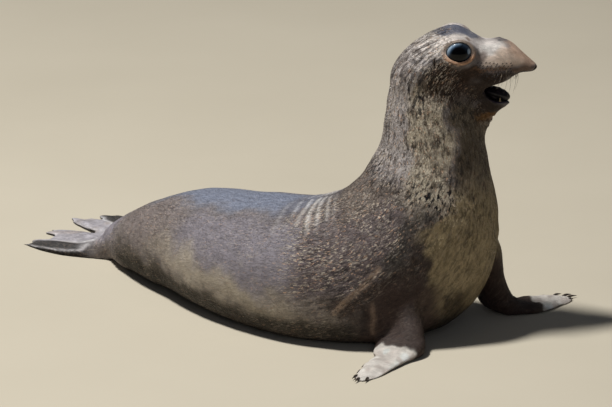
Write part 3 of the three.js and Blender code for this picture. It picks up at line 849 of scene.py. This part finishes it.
def hideMaterial(name, hairDepth):
    # Short seal hair: the painted markings, broken up by patterns that run with the lie of the hair
    made, tree = newMaterial(name)
    tone = addNode(tree, "Attribute", {"attribute_name": "tone"}).outputs["Color"]
    marks = addNode(tree, "Attribute", {"attribute_name": "marks"}).outputs["Vector"]
    grain = addNode(tree, "Attribute", {"attribute_name": "grain"}).outputs["Vector"]
    amounts = addNode(tree, "SeparateXYZ", None, {0: marks})
    paleAmount, darkAmount, wet = amounts.outputs

    def pattern(scale, stops, detail=3.0, shift=0.0):
        # scale: swells for each metre along the hair and across it
        placed = addNode(tree, "VectorMath", {"operation": "MULTIPLY_ADD"},
                         {0: grain, 1: (scale[0], scale[1], scale[1]), 2: (shift, shift, shift)})
        noise = addNode(tree, "TexNoise", None,
                        {"Vector": placed.outputs[0], "Scale": 1.0, "Detail": detail, "Roughness": 0.6})
        return addNode(tree, "ValToRGB", {"stops": stops}, {0: noise.outputs[0]}).outputs[0]

    def times(a, b):
        return addNode(tree, "Math", {"operation": "MULTIPLY"}, {0: a, 1: b}).outputs[0]

    def mixed(kind, share, under, over):
        # in a colour mix, inputs 6 and 7 are the two colours and output 2 is the result
        links = {0: share, 6: under, 7: over}
        return addNode(tree, "Mix", {"data_type": "RGBA", "blend_type": kind}, links).outputs[2]

    # blotches about 30 mm across, as dried hair sticks together unevenly
    blotch = pattern((32, 44), [(0.30, 0.70), (0.66, 1.0)], 5)
    colour = mixed("MULTIPLY", 1.0, tone, blotch)
    # dark patches about 30 mm long where the hair is parted and damp
    parted = times(pattern((30, 75), [(0.50, 0.0), (0.60, 1.0)], 4, 51.0), darkAmount)
    colour = mixed("MULTIPLY", times(parted, 0.75), colour, hexColour("#5d504c"))
    # pale dried flecks about 12 mm long and 4 mm wide, in clusters
    cluster = pattern((9, 12), [(0.40, 0.1), (0.58, 1.0)], 3, 4.0)
    pale = times(times(pattern((85, 230), [(0.54, 0.0), (0.62, 1.0)], 4, 9.0), cluster), paleAmount)
    colour = mixed("MIX", pale, colour, hexColour("#d9cbb9"))
    # a few pinkish ones, about 6 mm across
    rosy = times(pattern((120, 170), [(0.61, 0.0), (0.66, 1.0)], 3, 63.0), paleAmount)
    colour = mixed("MIX", rosy, colour, hexColour("#d9b397"))
    # dark wet flecks of the same kind
    dark = times(times(pattern((48, 100), [(0.52, 0.0), (0.57, 1.0)], 3, 17.0),
                       pattern((7, 10), [(0.40, 0.1), (0.62, 1.0)], 2, 23.0)), darkAmount)
    colour = mixed("MIX", dark, colour, hexColour("#1c1b20"))
    # fine pale scratches along the body
    scratch = times(pattern((10, 260), [(0.60, 0.0), (0.66, 1.0)], 2, 31.0), paleAmount)
    colour = mixed("MIX", times(scratch, 0.45), colour, hexColour("#b7b0a9"))
    # single hairs, about 0.8 mm wide so that they still show from here
    hairs = pattern((110, 1150), [(0.25, 0.0), (0.75, 1.0)], 2, 2.0)
    hairTone = pattern((110, 1150), [(0.25, 0.72), (0.75, 1.0)], 2, 2.0)
    colour = mixed("MULTIPLY", 1.0, colour, hairTone)

    # dry hair is dull, wet hair and bare skin shine
    rough = addNode(tree, "MapRange", None, {0: wet, 1: 0.0, 2: 1.0, 3: 0.62, 4: 0.30})
    damp = addNode(tree, "Math", {"operation": "MULTIPLY_ADD"}, {0: hairs, 1: 0.14, 2: rough.outputs[0]})
    swell = addNode(tree, "Bump", None, {"Strength": 0.7, "Distance": 0.0025, "Height": pattern(
        (60, 110), [(0.2, 0.0), (0.8, 1.0)], 4, 40.0)})
    bump = addNode(tree, "Bump", None, {"Strength": 0.8, "Distance": hairDepth, "Height": hairs,
                                        "Normal": swell.outputs[0]})
    shader = addNode(tree, "BsdfPrincipled", None, {
        "Base Color": colour, "Roughness": damp.outputs[0], "Normal": bump.outputs[0], "IOR": 1.45,
        "Specular IOR Level": 0.22})
    addNode(tree, "OutputMaterial", None, {"Surface": shader.outputs[0]})
    return made


hideSkin = hideMaterial("short_seal_hair_close_to_the_skin", 0.0009)
skin = newObject("skin", skinMesh, hideSkin, [*fleshNodes, *limbs])
skinPoints = meshArrays(skinMesh)[0]
skinNormals = vertexNormals(skinMesh)
skinStraight, skinLie = bodyPlaces(skinPoints)
skinTone, skinMarks = paint(skinPoints, skinNormals, skinStraight)
storeLook(skinMesh, skinTone, skinMarks, skinStraight)
print("markings painted")


# Tubes and horn, used for teeth, claws and whiskers

def tubeMesh(name, strands, corners):
    # strands: each a list of points with their radii; every one is closed at both ends
    points, faces = [], []
    for line, radii in strands:
        first = len(points)
        line = np.array(line)
        way = unit(np.gradient(line, axis=0))
        across = unit(np.cross(way, [0.13, 0.29, 0.95]))
        other = np.cross(way, across)
        for centre, a, b, radius in zip(line, across, other, radii):
            for turn in np.arange(corners) * 2 * math.pi / corners:
                points.append(centre + radius * (math.cos(turn) * a + math.sin(turn) * b))
        for ring in range(len(line) - 1):
            for i in range(corners):
                a, b = first + ring * corners + i, first + ring * corners + (i + 1) % corners
                faces.append((a, b, b + corners, a + corners))
        last = first + (len(line) - 1) * corners
        faces.append(tuple(range(first + corners - 1, first - 1, -1)))
        faces.append(tuple(range(last, last + corners)))
    mesh = bpy.data.meshes.new(name)
    mesh.from_pydata([tuple(p) for p in points], [], faces)
    return mesh


def curved(start, way, bend, length, steps):
    # points of a strand that leaves start along way and is drawn towards bend on its course
    t = np.linspace(0, 1, steps)[:, None]
    return np.array(start) + (np.array(way) * t + np.array(bend) * t ** 2) * length


def patternMaterial(name, scale, stops, rough, ior, bumpDepth=0.0, stretch=(1, 1, 1), coat=0.0):
    # a material from one noise pattern over the object, with the same pattern as its bump
    made, tree = newMaterial(name)
    place = addNode(tree, "TexCoord").outputs["Object"]
    placed = addNode(tree, "VectorMath", {"operation": "MULTIPLY"}, {0: place, 1: stretch})
    noise = addNode(tree, "TexNoise", None, {"Vector": placed.outputs[0], "Scale": scale, "Detail": 4.0})
    colour = addNode(tree, "ValToRGB", {"stops": stops}, {0: noise.outputs[0]})
    bump = addNode(tree, "Bump", None, {"Strength": 0.6, "Distance": bumpDepth, "Height": noise.outputs[0]})
    shader = addNode(tree, "BsdfPrincipled", None, {
        "Base Color": colour.outputs[0], "Roughness": rough, "IOR": ior, "Coat Weight": coat,
        "Coat Roughness": 0.06, "Normal": bump.outputs[0]})
    addNode(tree, "OutputMaterial", None, {"Surface": shader.outputs[0]})
    return made


# Eyes

eyeLook = {
    "ahead": 4,            # degrees that the pupil looks ahead of straight aside
    "rise": 1,
    "bulge": 0.0012,       # of the cornea
    "rings": 48,
    "corners": 64,
}


def eyeMaterial():
    # A wet eye: the wide pupil of a diver, a dark iris with fine spokes, a bluish band along its upper side
    # that is a painted reflection of the sky, and a painted glint at its front
    made, tree = newMaterial("wet_seal_eye")
    place = addNode(tree, "Attribute", {"attribute_name": "place"}).outputs["Vector"]
    parts = addNode(tree, "SeparateXYZ", None, {0: place})
    polar, lift = parts.outputs[0], parts.outputs[2]
    spokes = addNode(tree, "TexNoise", None, {"Vector": place, "Scale": 26.0, "Detail": 3.0})
    edge = addNode(tree, "Math", {"operation": "MULTIPLY_ADD"}, {0: spokes.outputs[0], 1: 0.045, 2: polar})
    iris = addNode(tree, "ValToRGB", {"stops": [
        (0.00, "#010102"), (0.345, "#020203"), (0.38, "#090c11"), (0.48, "#131b25"), (0.58, "#25303d"),
        (0.72, "#3f4a59"), (0.92, "#77767c")]}, {0: edge.outputs[0]})
    # the painted reflection of the sky, laid over the upper part of the eye
    sky = addNode(tree, "ValToRGB", {"stops": [
        (0.00, "#010102"), (0.345, "#030405"), (0.39, "#141c26"), (0.45, "#41566e"), (0.55, "#8ba0b6"),
        (0.66, "#a9b8c6"), (0.80, "#6d7b8c"), (0.95, "#77767c")]}, {0: edge.outputs[0]})
    upper = addNode(tree, "MapRange", {"interpolation_type": "SMOOTHSTEP"},
                    {0: lift, 1: 0.66, 2: 0.96, 3: 0.0, 4: 1.0})
    colour = addNode(tree, "Mix", {"data_type": "RGBA"},
                     {0: upper.outputs[0], 6: iris.outputs[0], 7: sky.outputs[0]})
    shader = addNode(tree, "BsdfPrincipled", None, {
        "Base Color": colour.outputs[2], "Roughness": 0.14, "IOR": 1.376, "Specular IOR Level": 0.3})
    addNode(tree, "OutputMaterial", None, {"Surface": shader.outputs[0]})
    return made


def makeEyes():
    look = eyeMaterial()
    for side in sides:
        centre, radius, out, front, up = eyeAxes(side, eyeLook)
        rings, corners = eyeLook["rings"], eyeLook["corners"]
        polar = np.repeat(np.linspace(0.004, math.pi - 0.004, rings), corners)
        turn = np.tile(np.arange(corners) * 2 * math.pi / corners, rings)
        # z runs out of the head, x to the front, y up
        x, y, z = np.sin(polar) * np.cos(turn), np.sin(polar) * np.sin(turn), np.cos(polar)
        height = radius - 0.0006 + eyeLook["bulge"] * hill(polar, 0, 0.42)
        points = centre + height[:, None] * (x[:, None] * front + y[:, None] * up + z[:, None] * out)
        faces = []
        for ring in range(rings - 1):
            for i in range(corners):
                a, b = ring * corners + i, ring * corners + (i + 1) % corners
                face = (a, b, b + corners, a + corners)
                faces.append(face if sides[side] < 0 else (face[0], *face[:0:-1]))
        cap = list(range(corners))
        foot = [(rings - 1) * corners + i for i in cap]
        faces += [cap[::-1], foot] if sides[side] < 0 else [cap, foot[::-1]]
        mesh = bpy.data.meshes.new("eye_" + side)
        mesh.from_pydata([tuple(p) for p in points], [], faces)
        layer = mesh.attributes.new("place", "FLOAT_VECTOR", "POINT")
        # from the middle out (1 at a quarter turn), round, and where the painted sky reflection lies:
        # upwards with a lean to the rear, with a painted glint at the front
        glint = 0.75 * smoothStep(0.50, 0.74, x) * hill(y, 0.12, 0.30)
        lift = 0.5 + 0.5 * (0.85 * y - 0.75 * x) + glint
        values = np.stack([polar / (math.pi / 2), turn / 6.283, lift], 1)
        layer.data.foreach_set("vector", values.astype(np.float32).ravel())
        newObject("seal_eye_" + side, mesh, look, "eye_" + side)


makeEyes()
print("eyes made")


# Tongue, canines and claws

def makeTongue():
    middle = boxMiddle("tongue")
    ball = bmesh.new()
    bmesh.ops.create_uvsphere(ball, u_segments=40, v_segments=24, radius=1)
    mesh = bpy.data.meshes.new("tongue")
    ball.to_mesh(mesh)
    ball.free()
    p = readArray(mesh.vertices, "co", 3).astype(float)
    # x forward, y left, z up: arched up behind, grooved along its middle, the tip a little narrower
    tip = smoothStep(-0.2, 1.0, p[:, 0])
    width = 0.025 * (1 - 0.25 * tip)
    top = np.where(p[:, 2] > 0, 0.025 - 0.005 * hill(p[:, 1], 0, 0.35), 0.025)
    x = p[:, 0] * 0.046
    y = p[:, 1] * width
    z = p[:, 2] * top - p[:, 0] * 0.009 + 0.0010 * np.sin(p[:, 0] * 17) * np.cos(p[:, 1] * 9)
    # soft folds along its side
    y += 0.0016 * np.sign(p[:, 1]) * np.sin(p[:, 2] * 7 + 2 * p[:, 0]) * (1 - p[:, 0] ** 2)
    points = middle + x[:, None] * headForward + y[:, None] * headLeft + z[:, None] * np.array([0, 0, 1.0])
    setPoints(mesh, points)
    # near black with a little purple: painted shade of the mouth's inside, with a faint painted reflection
    # of the sky
    shades = [(0.35, "#070609"), (0.55, "#120d14"), (0.72, "#33232e")]
    look = patternMaterial("tongue_in_painted_shade", 300.0, shades, 0.34, 1.4, 0.0010)
    newObject("seal_tongue", mesh, look, "tongue")


canineShape = {"thick": 0.0042, "point": 2.2, "swell": 0.14, "fullest": 1.3}
clawShape = {"thick": 0.0038, "point": 2.4, "swell": 0.2, "fullest": 1.5}


def hornRadii(t, thick, point, swell, fullest):
    # from root to tip: a little fuller on the way, then down to a blunt point
    belly = 1 - swell + swell * np.sin(math.pi * np.minimum(1, t * fullest))
    return thick * (1 - t ** point) * belly + 0.0003


def makeTeeth():
    enamel = patternMaterial("stained_enamel", 260.0, [(0.3, "#6f5c42"), (0.7, "#a8946c")], 0.32, 1.62,
                             0.0003, (1, 1, 0.25))
    for side in sides:
        low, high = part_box("lower_canine_" + side)
        middle = np.array((low + high) / 2)
        length = (high - low)[2] * 0.86
        t = np.linspace(0, 1, 14)
        foot = np.array([middle[0], middle[1], low[2]])
        bow = (0.0022 * np.sin(t * 2.6))[:, None] * headForward
        line = foot + t[:, None] * np.array([0, 0, length]) - bow
        radii = hornRadii(t, **canineShape)
        newObject("seal_canine_" + side, tubeMesh("canine", [(line, radii)], 20), enamel,
                  "lower_canine_" + side)


def makeClaws():
    horn = patternMaterial("dark_claw_horn", 420.0, [(0.3, "#1c1714"), (0.55, "#3a302a"), (0.75, "#6e6054")],
                           0.38, 1.54, 0.0005, (1, 1, 3))
    for side in sides:
        for i, (start, claw) in enumerate(fingerLines(side), 1):
            name = f"claw_{side}_{i}"
            low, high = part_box(name)
            way = unit(np.array([claw[0] - start[0], claw[1] - start[1], 0.0]))
            half = min((high - low)[k] / (2 * max(abs(way[k]), 0.5)) for k in (0, 1) if abs(way[k]) > 0.5)
            t = np.linspace(0, 1, 14)
            line = np.array((low + high) / 2) + ((2 * t - 1) * half)[:, None] * way
            line[:, 2] += 0.0026 * np.sin(math.pi * t ** 0.8) - 0.0014
            radii = hornRadii(t, **clawShape)
            line[:, 2] = np.maximum(line[:, 2], radii + 0.0006)
            newObject("seal_" + name, tubeMesh(name, [(line, radii)], 16), horn, name)


makeTongue()
makeTeeth()
makeClaws()
print("tongue, teeth and claws made")


# Whiskers and the long hairs over the eyes

whiskerSizes = {
    "rows": 4,
    "each": 6,
    "root": 0.0006,        # radius where it leaves the skin
    "tip": 0.00016,
    "short": 0.026,
    "long": 0.056,
    "stubRows": 7,         # of dark follicles on the pad
    "stubs": 9,
}


def makeWhiskers():
    faces = [tuple(p.vertices) for p in skinMesh.polygons]
    tree = BVHTree.FromPolygons([tuple(p) for p in skinPoints], faces)
    strands, roots = [], []

    def strand(forward, height, side, way, bend, length, thick, steps=12):
        start = headPoint(forward, side * 0.25, height)
        place, normal, _, _ = tree.ray_cast(Vector(start), Vector(-side * headLeft))
        if place is None:
            return
        place, normal = np.array(place), np.array(normal)
        way, drop = headWay(way, side), headWay(bend, side)
        line = curved(place - normal * 0.0010, unit(way + normal * 0.5), drop, length, steps)
        t = np.linspace(0, 1, steps)
        # a small follicle swells round the root
        radii = whiskerSizes["tip"] + (thick - whiskerSizes["tip"]) * (1 - t) ** 0.8
        radii = radii + 0.0008 * hill(t, 0, 0.03)
        (roots if steps < 12 else strands).append((line, radii))

    for side in sides.values():
        for row in range(whiskerSizes["rows"]):
            for i in range(whiskerSizes["each"]):
                share = i / (whiskerSizes["each"] - 1)
                forward = 0.084 + 0.062 * share + 0.005 * (row % 2) + draws.normal(0, 0.0015)
                height = 0.874 - 0.0075 * row - 0.006 * share + draws.normal(0, 0.0012)
                spare = whiskerSizes["long"] - whiskerSizes["short"]
                length = whiskerSizes["short"] + spare * draws.uniform(0, 1)
                way = (0.10 - 0.35 * (1 - share), 0.40, -0.75)
                bend = (-0.38 + draws.normal(0, 0.10), -0.20, -0.30 + draws.normal(0, 0.06))
                strand(forward, height, side, way, bend, length * (0.6 + 0.13 * row), whiskerSizes["root"])
        for row in range(whiskerSizes["stubRows"]):
            for i in range(whiskerSizes["stubs"]):
                forward = 0.020 + 0.013 * i + 0.006 * (row % 2) + draws.normal(0, 0.0015)
                height = 0.897 - 0.0085 * row - 0.0012 * i + draws.normal(0, 0.0010)
                strand(forward, height, side, (-0.8, 0.3, -0.5), (-0.2, -0.1, -0.2), 0.0060, 0.0017, 5)
        for i in range(3):
            strand(-0.062 + 0.016 * i, 0.968, side, (-0.7, 0.5, 0.2), (-0.4, 0.0, -0.2), 0.017, 0.0005)
    look = patternMaterial("stiff_whiskers", 60.0, [(0.35, "#231c18"), (0.55, "#57483b"), (0.7, "#a8977f")],
                           0.35, 1.54, 0.0001)
    newObject("whiskers", tubeMesh("whiskers", strands, 6), look, None)
    # the stubble that stands in the dark follicles of the pad
    look = patternMaterial("dark_stubble", 60.0, [(0.35, "#120e0c"), (0.7, "#2b211b")], 0.45, 1.54, 0.0001)
    newObject("whisker_roots", tubeMesh("whisker_roots", roots, 5), look, None)
    print("whiskers:", len(strands), "roots:", len(roots))


makeWhiskers()


# Coat: short stiff hair in flat tufts over the whole skin

coatSizes = {
    # share of the tufts for an area, length, width and how far the tip stands up, by region
    "head": (1.7, 0.0048, 0.0010, 0.0003),
    "neck": (1.25, 0.0090, 0.0017, 0.0009),
    "chest": (1.0, 0.0090, 0.0016, 0.0006),
    "trunk_right": (0.85, 0.0090, 0.0016, 0.0004),
    "trunk_left": (0.85, 0.0090, 0.0016, 0.0004),
    "rump": (0.9, 0.0090, 0.0016, 0.0006),
    "flippers": (0.9, 0.0048, 0.0012, 0.0003),
}
tuftCount = 112000


def unwrapSkin():
    # an unwrap of the skin's own shape, in pieces, for the coat's patches
    skinMesh.uv_layers.new(name="unwrap")
    bpy.ops.object.select_all(action="DESELECT")
    skin.select_set(True)
    bpy.context.view_layer.objects.active = skin
    bpy.ops.object.mode_set(mode="EDIT")
    bpy.ops.mesh.select_all(action="SELECT")
    bpy.ops.uv.smart_project(angle_limit=math.radians(72), island_margin=0.002)
    bpy.ops.object.mode_set(mode="OBJECT")


def hairWays(points):
    # the way the hair lies: towards the tail, and down the limbs
    ways = skinLie.copy()
    arm, hand, hind = partShares(points)
    for name, line in limbs.items():
        near = (1 - smoothStep(0.12, 0.2, distanceTo(points, line[1:])))[:, None]
        line = np.array(line)
        if name.startswith("hind"):
            ways += near * hind[:, None] * 2 * (unit(line[2] - line[1]) - ways)
        else:
            ways += near * arm[:, None] * (unit(line[2] - line[0]) - ways)
            ways += near * hand[:, None] * (unit(line[3] - line[2]) - ways)
    return unit(ways)


def bareSkin(points, normals):
    # 1 where no hair grows: lids, ears, nostrils, lips, mouth and what lies on the ground
    bare = (points[:, 2] < 0.006).astype(float)
    for side in sides:
        bare = np.maximum(bare, 1 - smoothStep(1.15, 1.35, eyeOpening(points, side)[0]))
    places = headPlaces(points)
    ear = earRing(places, 0.009, 0.021)
    bare = np.maximum(bare, ear < 1)
    tip = farFrom(points, headPoint(0.208, 0, 0.858)) < 0.026
    inner = headPoint(*mouthMiddle) - points
    mouth = (np.linalg.norm(inner, axis=1) < 0.078) & ((unit(inner) * normals).sum(1) > -0.2)
    return np.maximum(bare, np.maximum(tip, mouth)) > 0.5


def makeCoat():
    unwrapSkin()
    print("skin unwrapped")
    skinMesh.calc_loop_triangles()
    corners = readArray(skinMesh.loop_triangles, "vertices", 3, np.int32)
    loops = readArray(skinMesh.loop_triangles, "loops", 3, np.int32)
    unwrap = readArray(skinMesh.uv_layers["unwrap"].data, "uv", 2)
    ways = hairWays(skinPoints)
    bare = bareSkin(skinPoints, skinNormals)
    arm, hand, hind = partShares(skinPoints)
    along, left = skinStraight[:, 0], skinStraight[:, 1]
    names = list(coatSizes)
    limb = np.maximum(np.maximum(arm, hand), hind) > 0.5
    tests = {"flippers": limb, "head": along > 1.96, "neck": along > 1.46, "chest": along > 1.12,
             "trunk_right": (along > 0.56) & (left < 0), "trunk_left": along > 0.56}
    region = np.select(list(tests.values()), [names.index(n) for n in tests], names.index("rump"))
    a, b, c = (skinPoints[corners[:, i]] for i in range(3))
    area = np.linalg.norm(np.cross(b - a, c - a), axis=1) / 2
    region = region[corners[:, 0]]
    shares = np.array([coatSizes[n][0] for n in names])
    chance = area * shares[region] * ~bare[corners].any(axis=1)
    chosen = draws.choice(len(corners), tuftCount, p=chance / chance.sum())
    weight = draws.dirichlet((1, 1, 1), tuftCount)

    def at(values):
        return (values[corners[chosen]] * weight[:, :, None]).sum(1)

    place, normal, way = at(skinPoints), unit(at(skinNormals)), at(ways)
    way = unit(way - (way * normal).sum(1, keepdims=True) * normal)
    across = np.cross(normal, way)
    turn = draws.normal(0, 0.16, tuftCount)[:, None]
    way, across = unit(way + turn * across), unit(across - turn * way)
    tone, marks, grain = at(skinTone), at(skinMarks), at(skinStraight)
    # tufts differ most in tone where the hair is flecked
    vary = draws.uniform(-0.5, 0.5, tuftCount) * (0.16 + 1.05 * marks[:, 1] * marks[:, 0])
    tone = np.clip(tone * (1 + vary)[:, None], 0, 0.95)
    spot = (unwrap[loops[chosen]] * weight[:, :, None]).sum(1)
    sizes = np.array([coatSizes[n][1:] for n in names])[region[chosen]]
    length, width, lift = (sizes[:, i:i + 1] * draws.uniform(0.75, 1.3, (tuftCount, 1)) for i in range(3))
    hair = hideMaterial("short_seal_hair_in_tufts", 0.0004)
    # each tuft is a closed spindle: root, left, top, right, tip
    tuft = np.stack([
        place - 0.0004 * normal,
        place + 0.45 * length * way - 0.5 * width * across + 0.0002 * normal,
        place + 0.45 * length * way + (0.0004 + 0.4 * lift) * normal,
        place + 0.45 * length * way + 0.5 * width * across + 0.0002 * normal,
        place + length * way + lift * normal,
    ], 1)
    tuft[:, :, 2] = np.maximum(tuft[:, :, 2], 0.0006)
    sheet = np.array([(0, 1, 2), (0, 2, 3), (0, 3, 1), (4, 2, 1), (4, 3, 2), (4, 1, 3)])
    patch = np.array([(-0.0015, 0), (0, -0.0015), (0, 0), (0, 0.0015), (0.0015, 0)])
    for index, name in enumerate(names):
        rows = np.flatnonzero(region[chosen] == index)
        count = len(rows)
        mesh = bpy.data.meshes.new("coat_" + name)
        mesh.vertices.add(count * 5)
        mesh.vertices.foreach_set("co", tuft[rows].astype(np.float32).ravel())
        faces = (sheet[None] + 5 * np.arange(count)[:, None, None]).reshape(-1, 3)
        mesh.loops.add(faces.size)
        mesh.loops.foreach_set("vertex_index", faces.astype(np.int32).ravel())
        mesh.polygons.add(len(faces))
        mesh.polygons.foreach_set("loop_start", np.arange(0, faces.size, 3, dtype=np.int32))
        mesh.update(calc_edges=True)
        storeLook(mesh, *(np.repeat(values[rows], 5, axis=0) for values in (tone, marks, grain)))
        layer = mesh.uv_layers.new(name="OFBake")
        spots = spot[rows][:, None] + patch[sheet.ravel()][None]
        layer.data.foreach_set("uv", spots.astype(np.float32).ravel())
        newObject("coat_" + name, mesh, hair, None)
        print("coat", name, count, "tufts,", len(faces), "triangles")


makeCoat()

# Floor and light

stageSizes = {"floor": 14.0, "key": 1.6, "fill": 4.0}
lightPower = {"key": 1800, "fill": 34, "sky": 0.09}     # watts for the lamps


def makeStage():
    data = bpy.data.meshes.new("floor")
    half = stageSizes["floor"] / 2
    corners = [(-half, -half, 0), (half, -half, 0), (half, half, 0), (-half, half, 0)]
    data.from_pydata(corners, [], [(0, 1, 2, 3)])
    floor = bpy.data.objects.new("floor", data)
    bpy.context.scene.collection.objects.link(floor)
    matte, tree = newMaterial("pale_matte_floor")
    noise = addNode(tree, "TexNoise", None, {"Scale": 9.0, "Detail": 6.0})
    stops = [(0.3, "#bfb6a4"), (0.7, "#c6bdab")]
    colour = addNode(tree, "ValToRGB", {"stops": stops}, {0: noise.outputs[0]})
    shader = addNode(tree, "BsdfPrincipled", None, {"Base Color": colour.outputs[0], "Roughness": 0.9})
    addNode(tree, "OutputMaterial", None, {"Surface": shader.outputs[0]})
    data.materials.append(matte)


def addLight(name, place, target, size, power, colour):
    data = bpy.data.lights.new(name, "AREA")
    data.shape = "DISK"
    data.size = size
    data.energy = power
    data.color = hexColour(colour)[:3]
    item = bpy.data.objects.new(name, data)
    item.location = place
    way = Vector(target) - Vector(place)
    item.rotation_euler = way.to_track_quat("-Z", "Y").to_euler()
    bpy.context.scene.collection.objects.link(item)
    return item


def makeLights():
    middle = (-0.2, 0.05, 0.3)
    addLight("key", (-2.7, -2.9, 11.6), middle, stageSizes["key"], lightPower["key"], "#fbfaf6")
    fill = addLight("fill", (4.5, -5.0, 3.0), middle, stageSizes["fill"], lightPower["fill"], "#e6ecff")
    # only the key and the sky show as highlights in the wet eyes
    fill.visible_glossy = False
    world = bpy.data.worlds.new("studio")
    world.use_nodes = True
    tree = world.node_tree
    tree.nodes["Background"].inputs["Color"].default_value = hexColour("#cdd6e4")
    tree.nodes["Background"].inputs["Strength"].default_value = lightPower["sky"]
    bpy.context.scene.world = world
    bpy.context.scene.view_settings.view_transform = "Standard"


makeStage()
makeLights()
print("stage and lights made")
